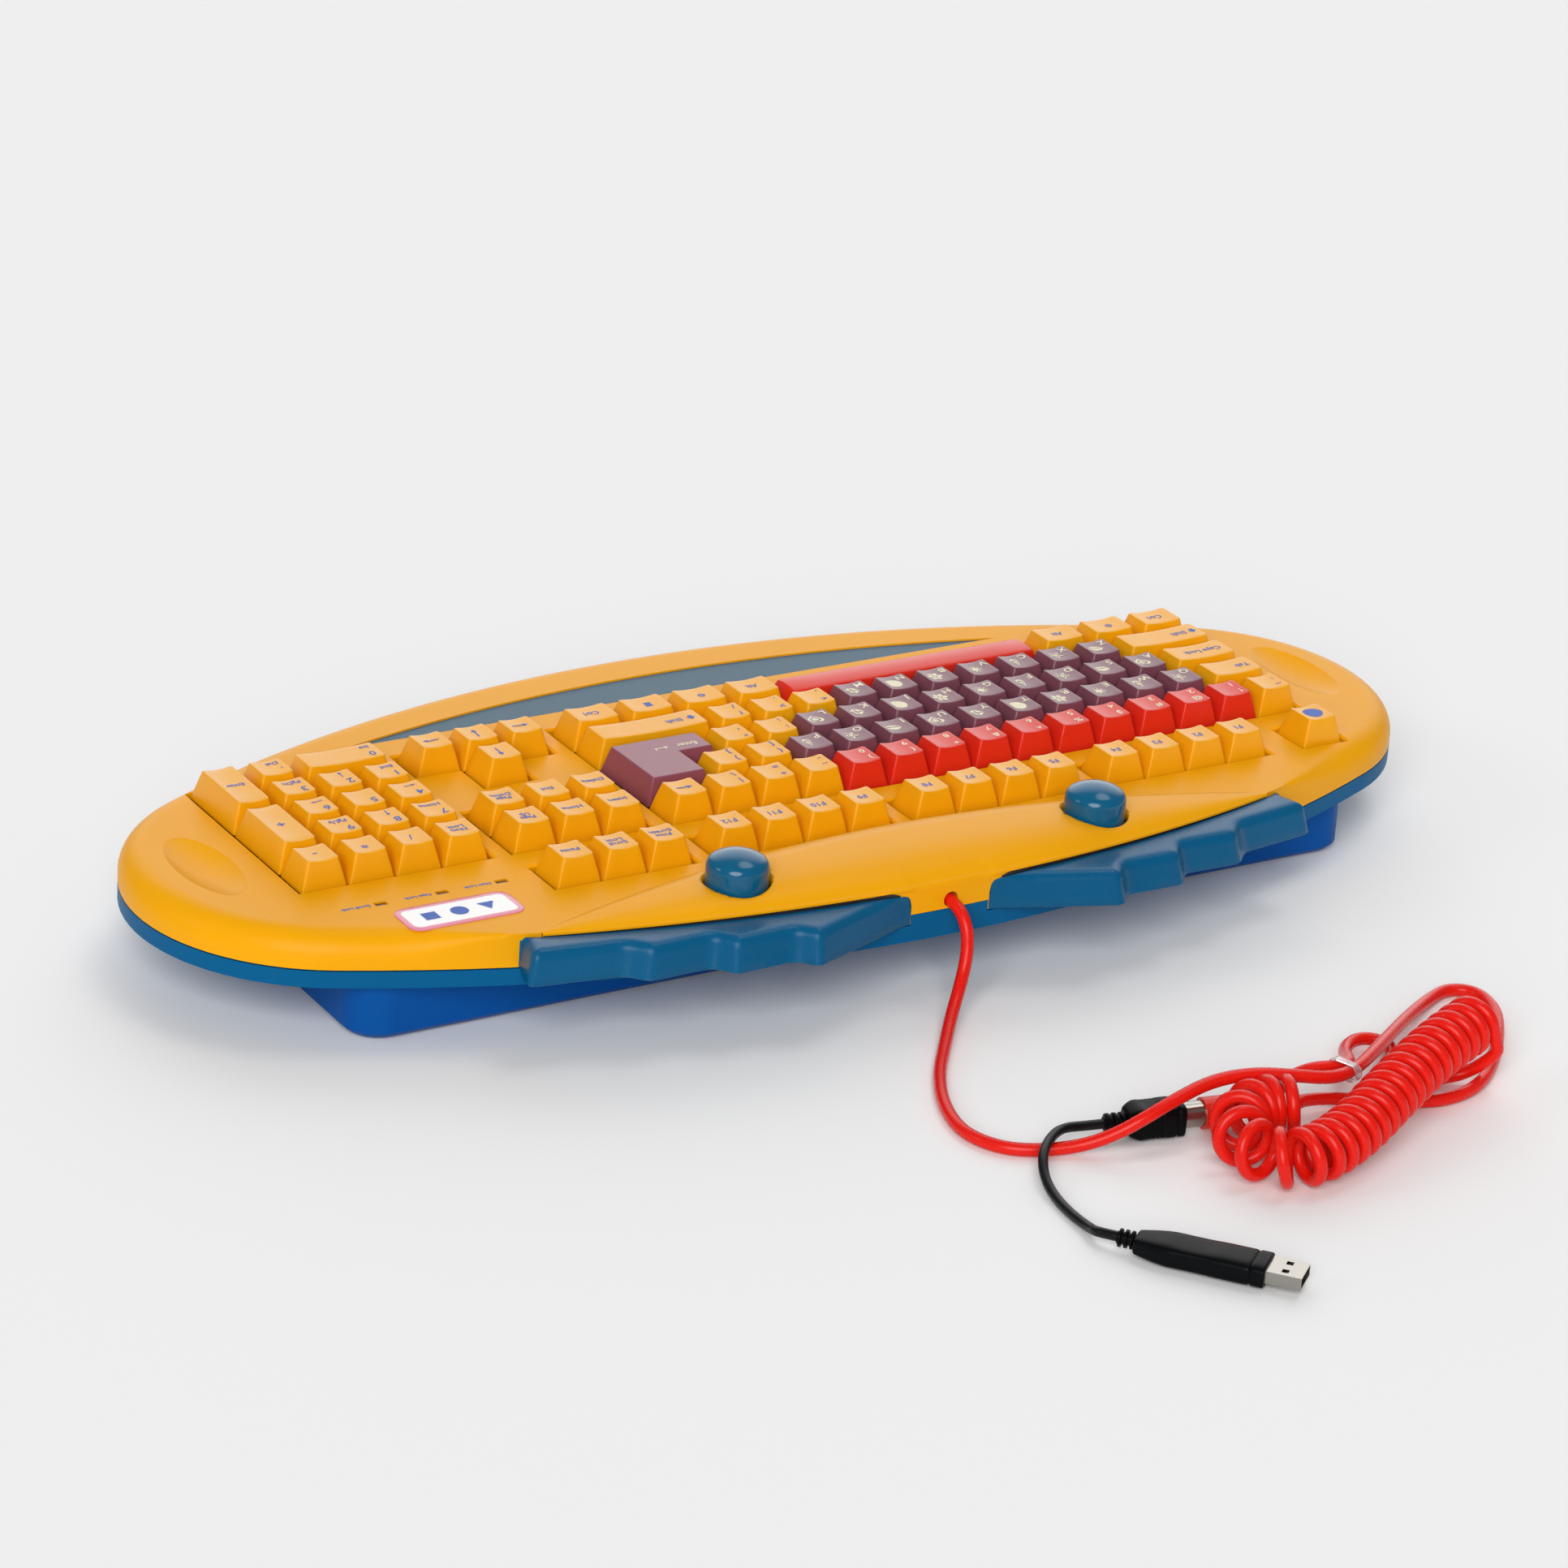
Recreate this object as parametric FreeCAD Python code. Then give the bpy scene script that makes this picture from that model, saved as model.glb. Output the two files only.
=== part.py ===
"""Children's wired computer keyboard: oval two-part case, 104 keys, curly cord and USB adapter.

Units are millimetres. +Z is up, +X is the user's right, -Y is the user's side and +Y the cord side.
The origin is on the table, under the middle of the case.
"""
import FreeCAD
import Part
import math
import os

V = FreeCAD.Vector

# Case outline: two end arcs joined by a front arc and a rear arc
END_X = 192.5
END_Y = -6.5
END_R = 77.0
FRONT_EDGE_Y = -131.5
REAR_EDGE_Y = 112.5

# Heights of the case
FOOT_HEIGHT = 1.0
RIM_BOTTOM_Z = 23.0
RIM_TOP_Z = 29.4
SEAM_Z = 30.0
DECK_Z = 43.0
DECK_THICKNESS = 3.0
DECK_UNDER_Z = DECK_Z - DECK_THICKNESS
EDGE_ROUND = 10.0
WALL = 6.0
FLOOR_THICKNESS = 2.5

# Tub under the rim
TUB_HALF_WIDTH = 217.0
TUB_REAR_Y = 67.5
TUB_FRONT_INSET = 15.0
TUB_CORNER_R = 14.0
TUB_EDGE = 2.0
TUB_WALL = 3.0

# Raised cowl along the rear edge
COWL_TIP_X = 157.0
COWL_FRONT_Y = 62.0
COWL_HEIGHT = 6.8
COWL_STATIONS = 9
REAR_SQUARE_X = 168.0

# Dome buttons in the cowl
DOME_X = 77.5
DOME_Y = 89.0
DOME_R = 12.8
DOME_TOP_Z = 60.6
DOME_CAP_R = 16.0
DOME_SHOULDER_R = 5.0
DOME_STEPS = 2
DOME_WELL_R = 14.6
DOME_FLANGE_R = 16.5
DOME_FLANGE_THICKNESS = 2.0
DOME_TRAVEL = 3.0
CLEARANCE = 0.3

# Key field: 23 units wide
UNIT = 19.05
FIELD_WIDTH_UNITS = 23.0
FIELD_FRONT_Y = -71.5
FUNCTION_ROW = 5.75
KEY_GAP = 0.9
KEY_HEIGHT = 10.0
KEY_SKIRT = 2.0
KEY_TRAVEL = 3.8
KEY_SIDE_INSET = 2.85
KEY_FRONT_INSET = 3.0
KEY_REAR_INSET = 1.6
KEY_DISH_DEPTH = 0.7
KEY_DISH_STRIPS = 4
STEM_SIDE = 6.0
STEM_LENGTH = 4.0
OPENING_MARGIN = 1.2
OPENING_CHAMFER = 0.8

# Key frame and the sheets under it
FRAME_TOP_Z = DECK_Z - 6.5
FRAME_THICKNESS = 4.0
FRAME_MARGIN = 3.4
FRAME_RIB = 2.0
FRAME_EDGE_INSET = 9.0
SLOT_DEPTH = 10.0
SHEET_THICKNESS = 0.8
MEMBRANE_THICKNESS = 0.5
PLATE_THICKNESS = 1.0

# Palm panel: a bow between a chord and an arc
PALM_TIP_X = 147.5
PALM_CHORD_Y = -86.5
PALM_BOW = 21.0
PALM_RECESS = 2.0
PALM_PANEL_THICKNESS = 1.3

# Thumb dishes in the ends of the deck
DISH_X = 241.5
DISH_Y = -9.5
DISH_LENGTH = 54.0
DISH_WIDTH = 22.0
DISH_DEPTH = 3.2

# Lock lamps
LAMP_XS = (149.5, 173.5, 198.0)
LAMP_Y = 44.5
LAMP_SLOT = (5.0, 3.0)
LAMP_RECESS = 0.6

# Finger grips on the rear edge: plan points (x, y, corner radius) along the lower edge
GRIP_BOTTOM_Z = 31.5
GRIP_SHOULDER_Z = 41.0
GRIP_TOP_Z = 42.8
GRIP_LEAN = 3.4
GRIP_ROUND = 1.8
GRIP_INNER_X = 18.5
GRIP_OUTER_X = 167.0
GRIP_POINTS = (
    (24.0, 114.5, 3.0),
    (64.3, 131.5, 3.5),
    (71.3, 124.3, 4.0),
    (95.0, 125.0, 3.5),
    (101.8, 116.5, 4.0),
    (126.2, 117.6, 3.5),
    (133.9, 110.0, 4.0),
    (166.8, 103.8, 4.0),
)

# Cord exit
NOTCH_HALF_WIDTH = 16.8
NOTCH_TOP_Z = 33.8
EXIT_Z = 37.2
EXIT_HOLE_R = 3.0
CLAMP_REAR_Y = 103.5
CLAMP_SIZE = (16.0, 6.0)

# Case screws and feet
SCREW_POINTS = ((-120.0, -86.0), (120.0, -86.0), (-238.0, 31.0), (238.0, 31.0), (-122.0, 79.0), (122.0, 79.0))
SCREW_R = 1.5
SCREW_HEAD_R = 2.9
SCREW_HEAD_Z = 23.4
POST_R = 4.4
BOSS_R = 3.6
FOOT_POINTS = ((-186.0, -48.0), (186.0, -48.0), (-186.0, 50.0), (186.0, 50.0))

# Red cord
CORD_R = 2.3
CORD_SIDES = 6
LEAD_POINTS = (
    (0.0, CLAMP_REAR_Y, EXIT_Z),
    (0.0, 116.0, EXIT_Z),
    (-0.2, 124.0, 31.5),
    (0.6, 126.8, 22.0),
    (5.0, 130.5, 12.5),
    (15.0, 140.5, 5.2),
    (27.5, 156.0, 2.4),
    (42.0, 175.0, 2.4),
    (53.5, 197.0, 2.4),
    (58.0, 217.0, 2.4),
    (51.5, 232.5, 2.4),
    (38.0, 239.6, 2.4),
    (25.5, 244.5, 4.2),
    (16.4, 249.5, 9.0),
    (7.0, 252.4, 14.5),
    (-6.0, 251.4, 18.6),
    (-23.0, 249.0, 21.3),
    (-39.0, 251.6, 22.0),
    (-53.0, 257.6, 20.8),
    (-66.0, 260.5, 18.5),
    (-80.0, 255.5, 16.6),
    (-97.0, 243.0, 14.0),
    (-116.0, 228.0, 10.5),
    (-137.0, 211.0, 5.8),
    (-157.0, 197.0, 2.5),
    (-171.0, 191.0, 2.4),
    (-180.0, 197.5, 2.4),
    (-178.0, 212.0, 2.4),
    (-166.5, 229.0, 2.4),
    (-149.0, 248.5, 2.4),
    (-131.0, 262.5, 2.4),
    (-113.0, 266.0, 2.4),
    (-97.0, 259.5, 2.4),
    (-84.0, 252.5, 2.8),
    (-71.0, 248.5, 4.2),
    (-59.5, 249.5, 5.6),
)
TAIL_POINTS = (
    (-132.5, 253.5, 3.8),
    (-124.0, 250.8, 2.4),
    (-115.0, 249.5, 2.4),
    (-110.0, 242.5, 2.4),
    (-116.5, 229.5, 2.4),
    (-124.0, 219.0, 2.4),
    (-127.0, 209.5, 2.4),
    (-121.0, 203.5, 2.4),
    (-111.0, 207.0, 2.4),
    (-103.0, 217.0, 3.4),
    (-96.0, 229.0, 7.5),
    (-88.0, 242.0, 12.5),
    (-77.0, 251.3, 16.8),
    (-65.5, 248.0, 17.0),
    (-55.5, 245.5, 12.5),
)

# Curly section: its axis, turns on each stretch and the radius of the turns
CURL_R = 7.2
CURL_AXIS = (
    (-46.7, 266.0, 13.5),
    (-38.5, 262.8, 13.5),
    (-29.0, 261.6, 13.4),
    (-18.0, 266.0, 12.8),
    (-12.0, 277.0, 11.3),
    (-15.0, 288.8, 10.3),
    (-26.5, 294.8, 9.9),
    (-44.5, 291.6, 10.3),
    (-64.0, 283.8, 12.3),
    (-86.0, 272.5, 16.0),
    (-107.0, 263.0, 19.5),
    (-124.5, 255.8, 21.2),
    (-134.0, 252.4, 21.8),
)
CURL_STRETCHES = ((17.0, 2.5), (68.0, 5.75), (0.0, 18.5))
CURL_START_ANGLE = 180.0
CORD_GAP_LEAST = 0.4

# Tie round the lead and the tail
TIE_CENTRE = (-76.3, 254.2, 17.0)
TIE_INNER = (11.6, 5.4)
TIE_THICKNESS = 0.9
TIE_WIDTH = 3.0
TIE_ALONG = (0.95, 0.3, 0.05)

# Round plug and adapter, on one axis that lies on the table
PLUG_START = (6.0, 239.0, 6.6)
PLUG_ALONG = (-0.98, 0.2, 0.0)
SOCKET_SIZE = (21.0, 12.6, 12.0)
SOCKET_BORE_R = 4.9
BARREL_R = 4.7
BARREL_WALL = 0.5
BARREL_INSERTED = 8.0
BARREL_SHOWN = 8.0
PLUG_GRIP_R = 5.7
PLUG_GRIP_LENGTH = 16.0
RELIEF_LENGTH = 8.0
RELIEF_RIBS = 3

# Black adapter lead and the USB plug
BLACK_R = 1.8
BLACK_POINTS = (
    (28.0, 233.0, 4.4),
    (37.0, 235.6, 7.4),
    (44.0, 242.5, 7.8),
    (49.0, 253.0, 4.0),
    (53.0, 266.0, 1.9),
    (56.0, 280.0, 1.9),
    (57.5, 293.0, 2.6),
)
USB_START = (50.0, 311.0, 5.0)
USB_ALONG = (-0.635, 0.772, 0.0)
USB_BODY_LENGTH = 46.0
USB_BODY_WIDTH = 17.5
USB_BODY_HEIGHT = 9.5
USB_SHELL = (12.4, 12.0, 4.5)
USB_SHELL_WALL = 0.4


def vec(point):
    """A vector from a tuple."""
    return V(*point)


def line(a, b):
    """A straight edge."""
    return Part.LineSegment(a, b).toShape()


def arc(a, middle, b):
    """An arc edge through three points."""
    return Part.Arc(a, middle, b).toShape()


def box(x0, x1, y0, y1, z0, z1):
    """A box between two corners."""
    return Part.makeBox(x1 - x0, y1 - y0, z1 - z0, V(x0, y0, z0))


def cylinder(radius, x, y, z0, z1):
    """An upright cylinder."""
    return Part.makeCylinder(radius, z1 - z0, V(x, y, z0))


def rounded_wire(corners, z):
    """A closed wire through plan corners (x, y, radius), each rounded by its own radius."""
    edges = []
    cuts = []
    count = len(corners)
    for i in range(count):
        here = V(corners[i][0], corners[i][1], z)
        before = V(corners[i - 1][0], corners[i - 1][1], z)
        after = V(corners[(i + 1) % count][0], corners[(i + 1) % count][1], z)
        back = (before - here).normalize()
        ahead = (after - here).normalize()
        half = back.getAngle(ahead) / 2.0
        radius = corners[i][2]
        reach = radius / math.tan(half)
        middle = here + (back + ahead).normalize() * (radius / math.sin(half) - radius)
        cuts.append((here + back * reach, middle, here + ahead * reach))
    for i in range(count):
        first, middle, last = cuts[i]
        if corners[i][2] > 0:
            edges.append(arc(first, middle, last))
        edges.append(line(last, cuts[(i + 1) % count][0]))
    return Part.Wire(edges)


def prism(wire, height):
    """A solid from a flat wire, raised by a height."""
    return Part.Face(wire).extrude(V(0, 0, height))


def flat(points):
    """A flat face with straight edges."""
    return Part.Face(Part.makePolygon(list(points) + [points[0]]))


def solid_of(faces):
    """A solid from the faces that close round it."""
    solid = Part.Solid(Part.Shell(faces))
    if solid.Volume < 0:
        solid.reverse()
    return solid


def tapered(lower, upper):
    """A solid between two flat outlines with the same number of straight edges."""
    faces = [flat(lower), flat(upper)]
    for i in range(len(lower)):
        faces.append(flat([lower[i - 1], lower[i], upper[i], upper[i - 1]]))
    return solid_of(faces)


def rectangle(x0, x1, y0, y1, radius=0.0):
    """Corners of a rectangle for rounded_wire."""
    return ((x0, y0, radius), (x1, y0, radius), (x1, y1, radius), (x0, y1, radius))


def edge_radius(edge_y):
    """Radius of the arc that touches both end arcs and passes through (0, edge_y)."""
    reach = abs(edge_y - END_Y)
    return (END_X ** 2 + reach ** 2 - END_R ** 2) / (2.0 * (reach - END_R))


FRONT_R = edge_radius(FRONT_EDGE_Y)
REAR_R = edge_radius(REAR_EDGE_Y)
FRONT_CENTRE_Y = FRONT_EDGE_Y + FRONT_R
REAR_CENTRE_Y = REAR_EDGE_Y - REAR_R


def front_edge(x, inset=0.0):
    """Y of the front arc at x."""
    return FRONT_CENTRE_Y - math.sqrt((FRONT_R - inset) ** 2 - x * x)


def rear_edge(x, inset=0.0):
    """Y of the rear arc at x."""
    return REAR_CENTRE_Y + math.sqrt((REAR_R - inset) ** 2 - x * x)


def outline(z, inset=0.0):
    """The oval case outline, drawn in by an inset."""
    radius = END_R - inset

    def touch(centre_y, side):
        away = V(side * END_X, END_Y - centre_y, 0).normalize()
        return V(side * END_X, END_Y, z) + away * radius

    front_right = touch(FRONT_CENTRE_Y, 1)
    rear_right = touch(REAR_CENTRE_Y, 1)
    front_left = touch(FRONT_CENTRE_Y, -1)
    rear_left = touch(REAR_CENTRE_Y, -1)
    return Part.Wire([
        arc(front_left, V(0, FRONT_EDGE_Y + inset, z), front_right),
        arc(front_right, V(END_X + radius, END_Y, z), rear_right),
        arc(rear_right, V(0, REAR_EDGE_Y - inset, z), rear_left),
        arc(rear_left, V(-END_X - radius, END_Y, z), front_left),
    ])


def key_x(units):
    """X of a place in the key field."""
    return (units - FIELD_WIDTH_UNITS / 2.0) * UNIT


def key_y(units):
    """Y of a place in the key field."""
    return FIELD_FRONT_Y + units * UNIT


def run(x, row, *widths):
    """Keys side by side from x: (x, row, width, depth) in units."""
    keys = []
    for width in widths:
        keys.append((x, row, width, 1.0))
        x += width
    return keys


ONE = 1.0
KEY_NODES = {
    "escape_key": run(0.11, FUNCTION_ROW, ONE),
    "function_keys_1_to_4": run(2.0, FUNCTION_ROW, ONE, ONE, ONE, ONE),
    "function_keys_5_to_8": run(6.5, FUNCTION_ROW, ONE, ONE, ONE, ONE),
    "function_keys_9_to_12": run(11.0, FUNCTION_ROW, ONE, ONE, ONE, ONE),
    "system_keys": run(15.5, FUNCTION_ROW, ONE, ONE, ONE),
    "symbol_keys": run(0.0, 4, ONE) + run(11.0, 4, ONE, ONE, ONE),
    "digit_keys": run(1.0, 4, *[ONE] * 10),
    "backspace_key": run(14.0, 4, ONE),
    "tab_key": run(0.0, 3, 1.5),
    "letter_keys_top": run(1.5, 3, *[ONE] * 10),
    "bracket_keys": run(11.5, 3, ONE, ONE),
    "caps_lock_key": run(0.0, 2, 1.75),
    "letter_keys_middle": run(1.75, 2, *[ONE] * 9),
    "quote_keys": run(10.75, 2, ONE, ONE),
    "left_shift_key": run(0.0, 1, 2.25),
    "letter_keys_bottom": run(2.25, 1, *[ONE] * 7),
    "stop_keys": run(9.25, 1, ONE, ONE, ONE),
    "right_shift_key": run(12.25, 1, 2.75),
    "left_control_keys": run(0.0, 0, 1.25, 1.25, 1.25),
    "space_bar": run(3.75, 0, 6.25),
    "right_control_keys": run(10.0, 0, 1.25, 1.25, 1.25, 1.25),
    "insert_keys": run(15.5, 4, ONE, ONE, ONE),
    "delete_keys": run(15.5, 3, ONE, ONE, ONE),
    "arrow_keys": run(15.5, 0, ONE, ONE, ONE) + run(16.5, 1, ONE),
    "numpad_lock_keys": run(19.0, 4, ONE, ONE, ONE, ONE),
    "numpad_keys_7_to_9": run(19.0, 3, ONE, ONE, ONE),
    "numpad_keys_4_to_6": run(19.0, 2, ONE, ONE, ONE),
    "numpad_keys_1_to_3": run(19.0, 1, ONE, ONE, ONE),
    "numpad_plus_key": [(22.0, 2, ONE, 2.0)],
    "numpad_enter_key": [(22.0, 0, ONE, 2.0)],
    "numpad_zero_key": run(19.0, 0, 2.0),
    "numpad_point_key": run(21.0, 0, ONE),
}

# The Enter key is an L: a wide lower arm and a narrow upper arm
ENTER_LOWER = (12.75, 2)
ENTER_UPPER = (13.5, 3)
ENTER_RIGHT = 15.0

# Deck openings in units: left, front, right, rear
OPENINGS = (
    (0.0, 0, 15.0, 5),
    (15.5, 3, 18.5, 5),
    (15.5, 0, 18.5, 1),
    (16.5, 1, 17.5, 2),
    (19.0, 0, 23.0, 5),
    (0.11, FUNCTION_ROW, 1.11, FUNCTION_ROW + 1),
    (2.0, FUNCTION_ROW, 6.0, FUNCTION_ROW + 1),
    (6.5, FUNCTION_ROW, 10.5, FUNCTION_ROW + 1),
    (11.0, FUNCTION_ROW, 15.0, FUNCTION_ROW + 1),
    (15.5, FUNCTION_ROW, 18.5, FUNCTION_ROW + 1),
)

# Stem slots in the key frame: left, right and row in units
STEM_SLOTS = (
    [(0.0, 15.0, row) for row in range(5)]
    + [(15.5, 18.5, row) for row in (0, 3, 4)]
    + [(16.5, 17.5, 1)]
    + [(19.0, 23.0, row) for row in range(5)]
    + [(0.0, 6.0, FUNCTION_ROW), (6.5, 18.5, FUNCTION_ROW)]
)


def key_stem(x, y):
    """The square stem under a key cap."""
    bottom = DECK_Z - KEY_SKIRT
    half = STEM_SIDE / 2.0
    return box(x - half, x + half, y - half, y + half, bottom - STEM_LENGTH, bottom)


def key_cap(x0, x1, y0, y1):
    """A tapered key cap with a dished top, made of flat strips, and a square stem under it."""
    bottom = DECK_Z - KEY_SKIRT
    height = KEY_SKIRT + KEY_HEIGHT
    middle = (x0 + x1) / 2.0
    half = (x1 - x0) / 2.0 - KEY_SIDE_INSET
    front = []
    rear = []
    for i in range(KEY_DISH_STRIPS + 1):
        across = -1.0 + 2.0 * i / KEY_DISH_STRIPS
        rise = height - KEY_DISH_DEPTH * (1.0 - across ** 2)
        front.append(V(middle + half * across, y0 + KEY_FRONT_INSET * rise / height, bottom + rise))
        rear.append(V(middle + half * across, y1 - KEY_REAR_INSET * rise / height, bottom + rise))
    corners = [V(x0, y0, bottom), V(x1, y0, bottom), V(x1, y1, bottom), V(x0, y1, bottom)]
    faces = [
        flat(corners),
        flat([corners[0], corners[1]] + front[::-1]),
        flat([corners[3], corners[2]] + rear[::-1]),
        flat([corners[0], front[0], rear[0], corners[3]]),
        flat([corners[1], front[-1], rear[-1], corners[2]]),
    ]
    for i in range(KEY_DISH_STRIPS):
        faces.append(flat([front[i], front[i + 1], rear[i + 1], rear[i]]))
    return solid_of(faces).fuse(key_stem(middle, y0 + (UNIT - KEY_GAP) / 2.0)).removeSplitter()


def key_bounds(x, row, width, depth):
    """Plan limits of a key cap's skirt."""
    half_gap = KEY_GAP / 2.0
    return (key_x(x) + half_gap, key_x(x + width) - half_gap, key_y(row) + half_gap, key_y(row + depth) - half_gap)


def key_group(keys):
    """The key caps of one node."""
    return Part.makeCompound([key_cap(*key_bounds(*key)) for key in keys])


def enter_key():
    """The L-shaped Enter key."""
    low_x, right, low_y, _ = key_bounds(ENTER_LOWER[0], ENTER_LOWER[1], ENTER_RIGHT - ENTER_LOWER[0], 1.0)
    up_x, _, step_y, top_y = key_bounds(ENTER_UPPER[0], ENTER_UPPER[1], ENTER_RIGHT - ENTER_UPPER[0], 1.0)
    step_y -= KEY_GAP

    def ell(z, side, front, rear):
        return [
            V(low_x + side, low_y + front, z),
            V(right - side, low_y + front, z),
            V(right - side, top_y - rear, z),
            V(up_x + side, top_y - rear, z),
            V(up_x + side, step_y - rear, z),
            V(low_x + side, step_y - rear, z),
        ]

    cap = tapered(
        ell(DECK_Z - KEY_SKIRT, 0.0, 0.0, 0.0),
        ell(DECK_Z + KEY_HEIGHT - KEY_DISH_DEPTH, KEY_SIDE_INSET, KEY_FRONT_INSET, KEY_REAR_INSET))
    return cap.fuse(key_stem((low_x + right) / 2.0, (low_y + step_y) / 2.0)).removeSplitter()


def cowl():
    """The raised lens along the rear edge, lofted through arcs from tip to tip."""
    overhang = 1.0
    sections = []
    sag = rear_edge(COWL_TIP_X) - COWL_FRONT_Y
    for i in range(COWL_STATIONS):
        share = -1.0 + 2.0 * i / (COWL_STATIONS - 1)
        x = COWL_TIP_X * 0.985 * share
        rear = rear_edge(x) + overhang
        front = COWL_FRONT_Y + sag * (x / COWL_TIP_X) ** 2
        rise = COWL_HEIGHT * (1.0 - (x / COWL_TIP_X) ** 2)
        low = DECK_Z - 0.5
        rim = DECK_Z + 0.25 * rise
        crest = V(x, front + 0.5 * (rear - front), DECK_Z + rise)
        sections.append(Part.Wire([
            line(V(x, rear, low), V(x, front, low)),
            line(V(x, front, low), V(x, front, DECK_Z)),
            arc(V(x, front, DECK_Z), crest, V(x, rear, rim)),
            line(V(x, rear, rim), V(x, rear, low)),
        ]))
    lens = Part.makeLoft(sections, True, False)
    return lens.common(prism(outline(SEAM_Z), DECK_Z))


def palm_bow(z, margin):
    """The bow outline of the palm panel, drawn in by a margin."""
    tip = PALM_TIP_X - 4.0 * margin
    chord_y = PALM_CHORD_Y - margin
    bow_y = PALM_CHORD_Y - PALM_BOW + margin
    return Part.Wire([
        line(V(-tip, chord_y, z), V(tip, chord_y, z)),
        arc(V(tip, chord_y, z), V(0, bow_y, z), V(-tip, chord_y, z)),
    ])


def thumb_dish(side):
    """A barrel whose underside scoops the dish out of the deck."""
    half = DISH_WIDTH / 2.0
    radius = (half ** 2 + DISH_DEPTH ** 2) / (2.0 * DISH_DEPTH)
    reach = DISH_LENGTH / 2.0
    axis_z = DECK_Z + radius - DISH_DEPTH
    profile = Part.Wire([
        line(V(0, -reach, axis_z), V(0, -reach, DECK_Z)),
        arc(V(0, -reach, DECK_Z), V(0, 0, DECK_Z - DISH_DEPTH), V(0, reach, DECK_Z)),
        line(V(0, reach, DECK_Z), V(0, reach, axis_z)),
        line(V(0, reach, axis_z), V(0, -reach, axis_z)),
    ])
    barrel = Part.Face(profile).revolve(V(0, 0, axis_z), V(0, 1, 0), 360)
    barrel.translate(V(side * DISH_X, DISH_Y, 0))
    return barrel


def deck_opening(left, front, right, rear):
    """A straight opening with a chamfered rim."""
    x0 = key_x(left) - OPENING_MARGIN
    x1 = key_x(right) + OPENING_MARGIN
    y0 = key_y(front) - OPENING_MARGIN
    y1 = key_y(rear) + OPENING_MARGIN
    def rim(z, out):
        return [V(x0 - out, y0 - out, z), V(x1 + out, y0 - out, z), V(x1 + out, y1 + out, z), V(x0 - out, y1 + out, z)]

    straight = box(x0, x1, y0, y1, SEAM_Z, DECK_Z + 1)
    return straight.fuse(tapered(rim(DECK_Z - OPENING_CHAMFER, 0.0), rim(DECK_Z, OPENING_CHAMFER)))


def frame_outline(z, shrink=0.0):
    """Plan of the key frame: the key field with a margin, kept inside the oval."""
    x = key_x(FIELD_WIDTH_UNITS) + FRAME_MARGIN - shrink
    y0 = FIELD_FRONT_Y - FRAME_MARGIN + shrink
    y1 = key_y(FUNCTION_ROW + 1) + FRAME_MARGIN - shrink
    field = box(-x, x, y0, y1, z, z + 1)
    oval = prism(outline(z, FRAME_EDGE_INSET + shrink), 1)
    return field.common(oval)


def frame_slab(z0, z1, shrink=0.0):
    """The key frame's plan between two heights."""
    slab = frame_outline(z0, shrink)
    bottom = [face for face in slab.Faces if abs(face.CenterOfMass.z - z0) < 1e-6][0]
    return bottom.extrude(V(0, 0, z1 - z0))


def top_shell():
    """The yellow upper case with the cowl, openings, wells, dishes and cord notch."""
    height = DECK_Z - SEAM_Z
    slab = prism(outline(SEAM_Z), height)
    top_edges = [e for e in slab.Edges if e.BoundBox.ZMin > DECK_Z - 0.01]
    shell = slab.makeFillet(EDGE_ROUND, top_edges)
    rear_band = slab.common(box(-REAR_SQUARE_X, REAR_SQUARE_X, rear_edge(REAR_SQUARE_X) - EDGE_ROUND * 1.5,
                                REAR_EDGE_Y + 1, SEAM_Z, DECK_Z))
    shell = shell.fuse(rear_band).fuse(cowl())
    cavity = prism(outline(SEAM_Z - 1, WALL), DECK_UNDER_Z - SEAM_Z + 1)
    rib = frame_slab(FRAME_TOP_Z, DECK_UNDER_Z).cut(frame_slab(FRAME_TOP_Z, DECK_UNDER_Z, FRAME_RIB))
    for side in (-1, 1):
        backing = box(-DISH_WIDTH / 2, DISH_WIDTH / 2, -DISH_LENGTH / 2, DISH_LENGTH / 2, 0, DISH_DEPTH)
        backing.translate(V(side * DISH_X, DISH_Y, DECK_UNDER_Z - DISH_DEPTH))
        cavity = cavity.cut(backing)
    shell = shell.cut(cavity.cut(rib))
    for x, y in SCREW_POINTS:
        boss = cylinder(BOSS_R, x, y, SEAM_Z, DECK_UNDER_Z + 0.5)
        shell = shell.fuse(boss.cut(cylinder(SCREW_R, x, y, SEAM_Z, SEAM_Z + 7)))
    for opening in OPENINGS:
        shell = shell.cut(deck_opening(*opening))
    shell = shell.cut(prism(palm_bow(DECK_Z - PALM_RECESS, 0.0), PALM_RECESS + 1))
    for side in (-1, 1):
        shell = shell.cut(thumb_dish(side))
        shell = shell.cut(cylinder(DOME_WELL_R, side * DOME_X, DOME_Y, SEAM_Z, DECK_Z + COWL_HEIGHT + 1))
    for x in LAMP_XS:
        half_x, half_y = LAMP_SLOT[0] / 2, LAMP_SLOT[1] / 2
        shell = shell.cut(box(x - half_x, x + half_x, LAMP_Y - half_y, LAMP_Y + half_y, SEAM_Z, DECK_Z + 1))
    shell = shell.cut(box(-NOTCH_HALF_WIDTH, NOTCH_HALF_WIDTH, REAR_EDGE_Y - WALL - 4, REAR_EDGE_Y + 1,
                          SEAM_Z - 1, NOTCH_TOP_Z))
    hole = Part.makeCylinder(EXIT_HOLE_R, WALL * 3, V(0, REAR_EDGE_Y - WALL * 2, EXIT_Z), V(0, 1, 0))
    return shell.cut(hole).removeSplitter()


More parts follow.
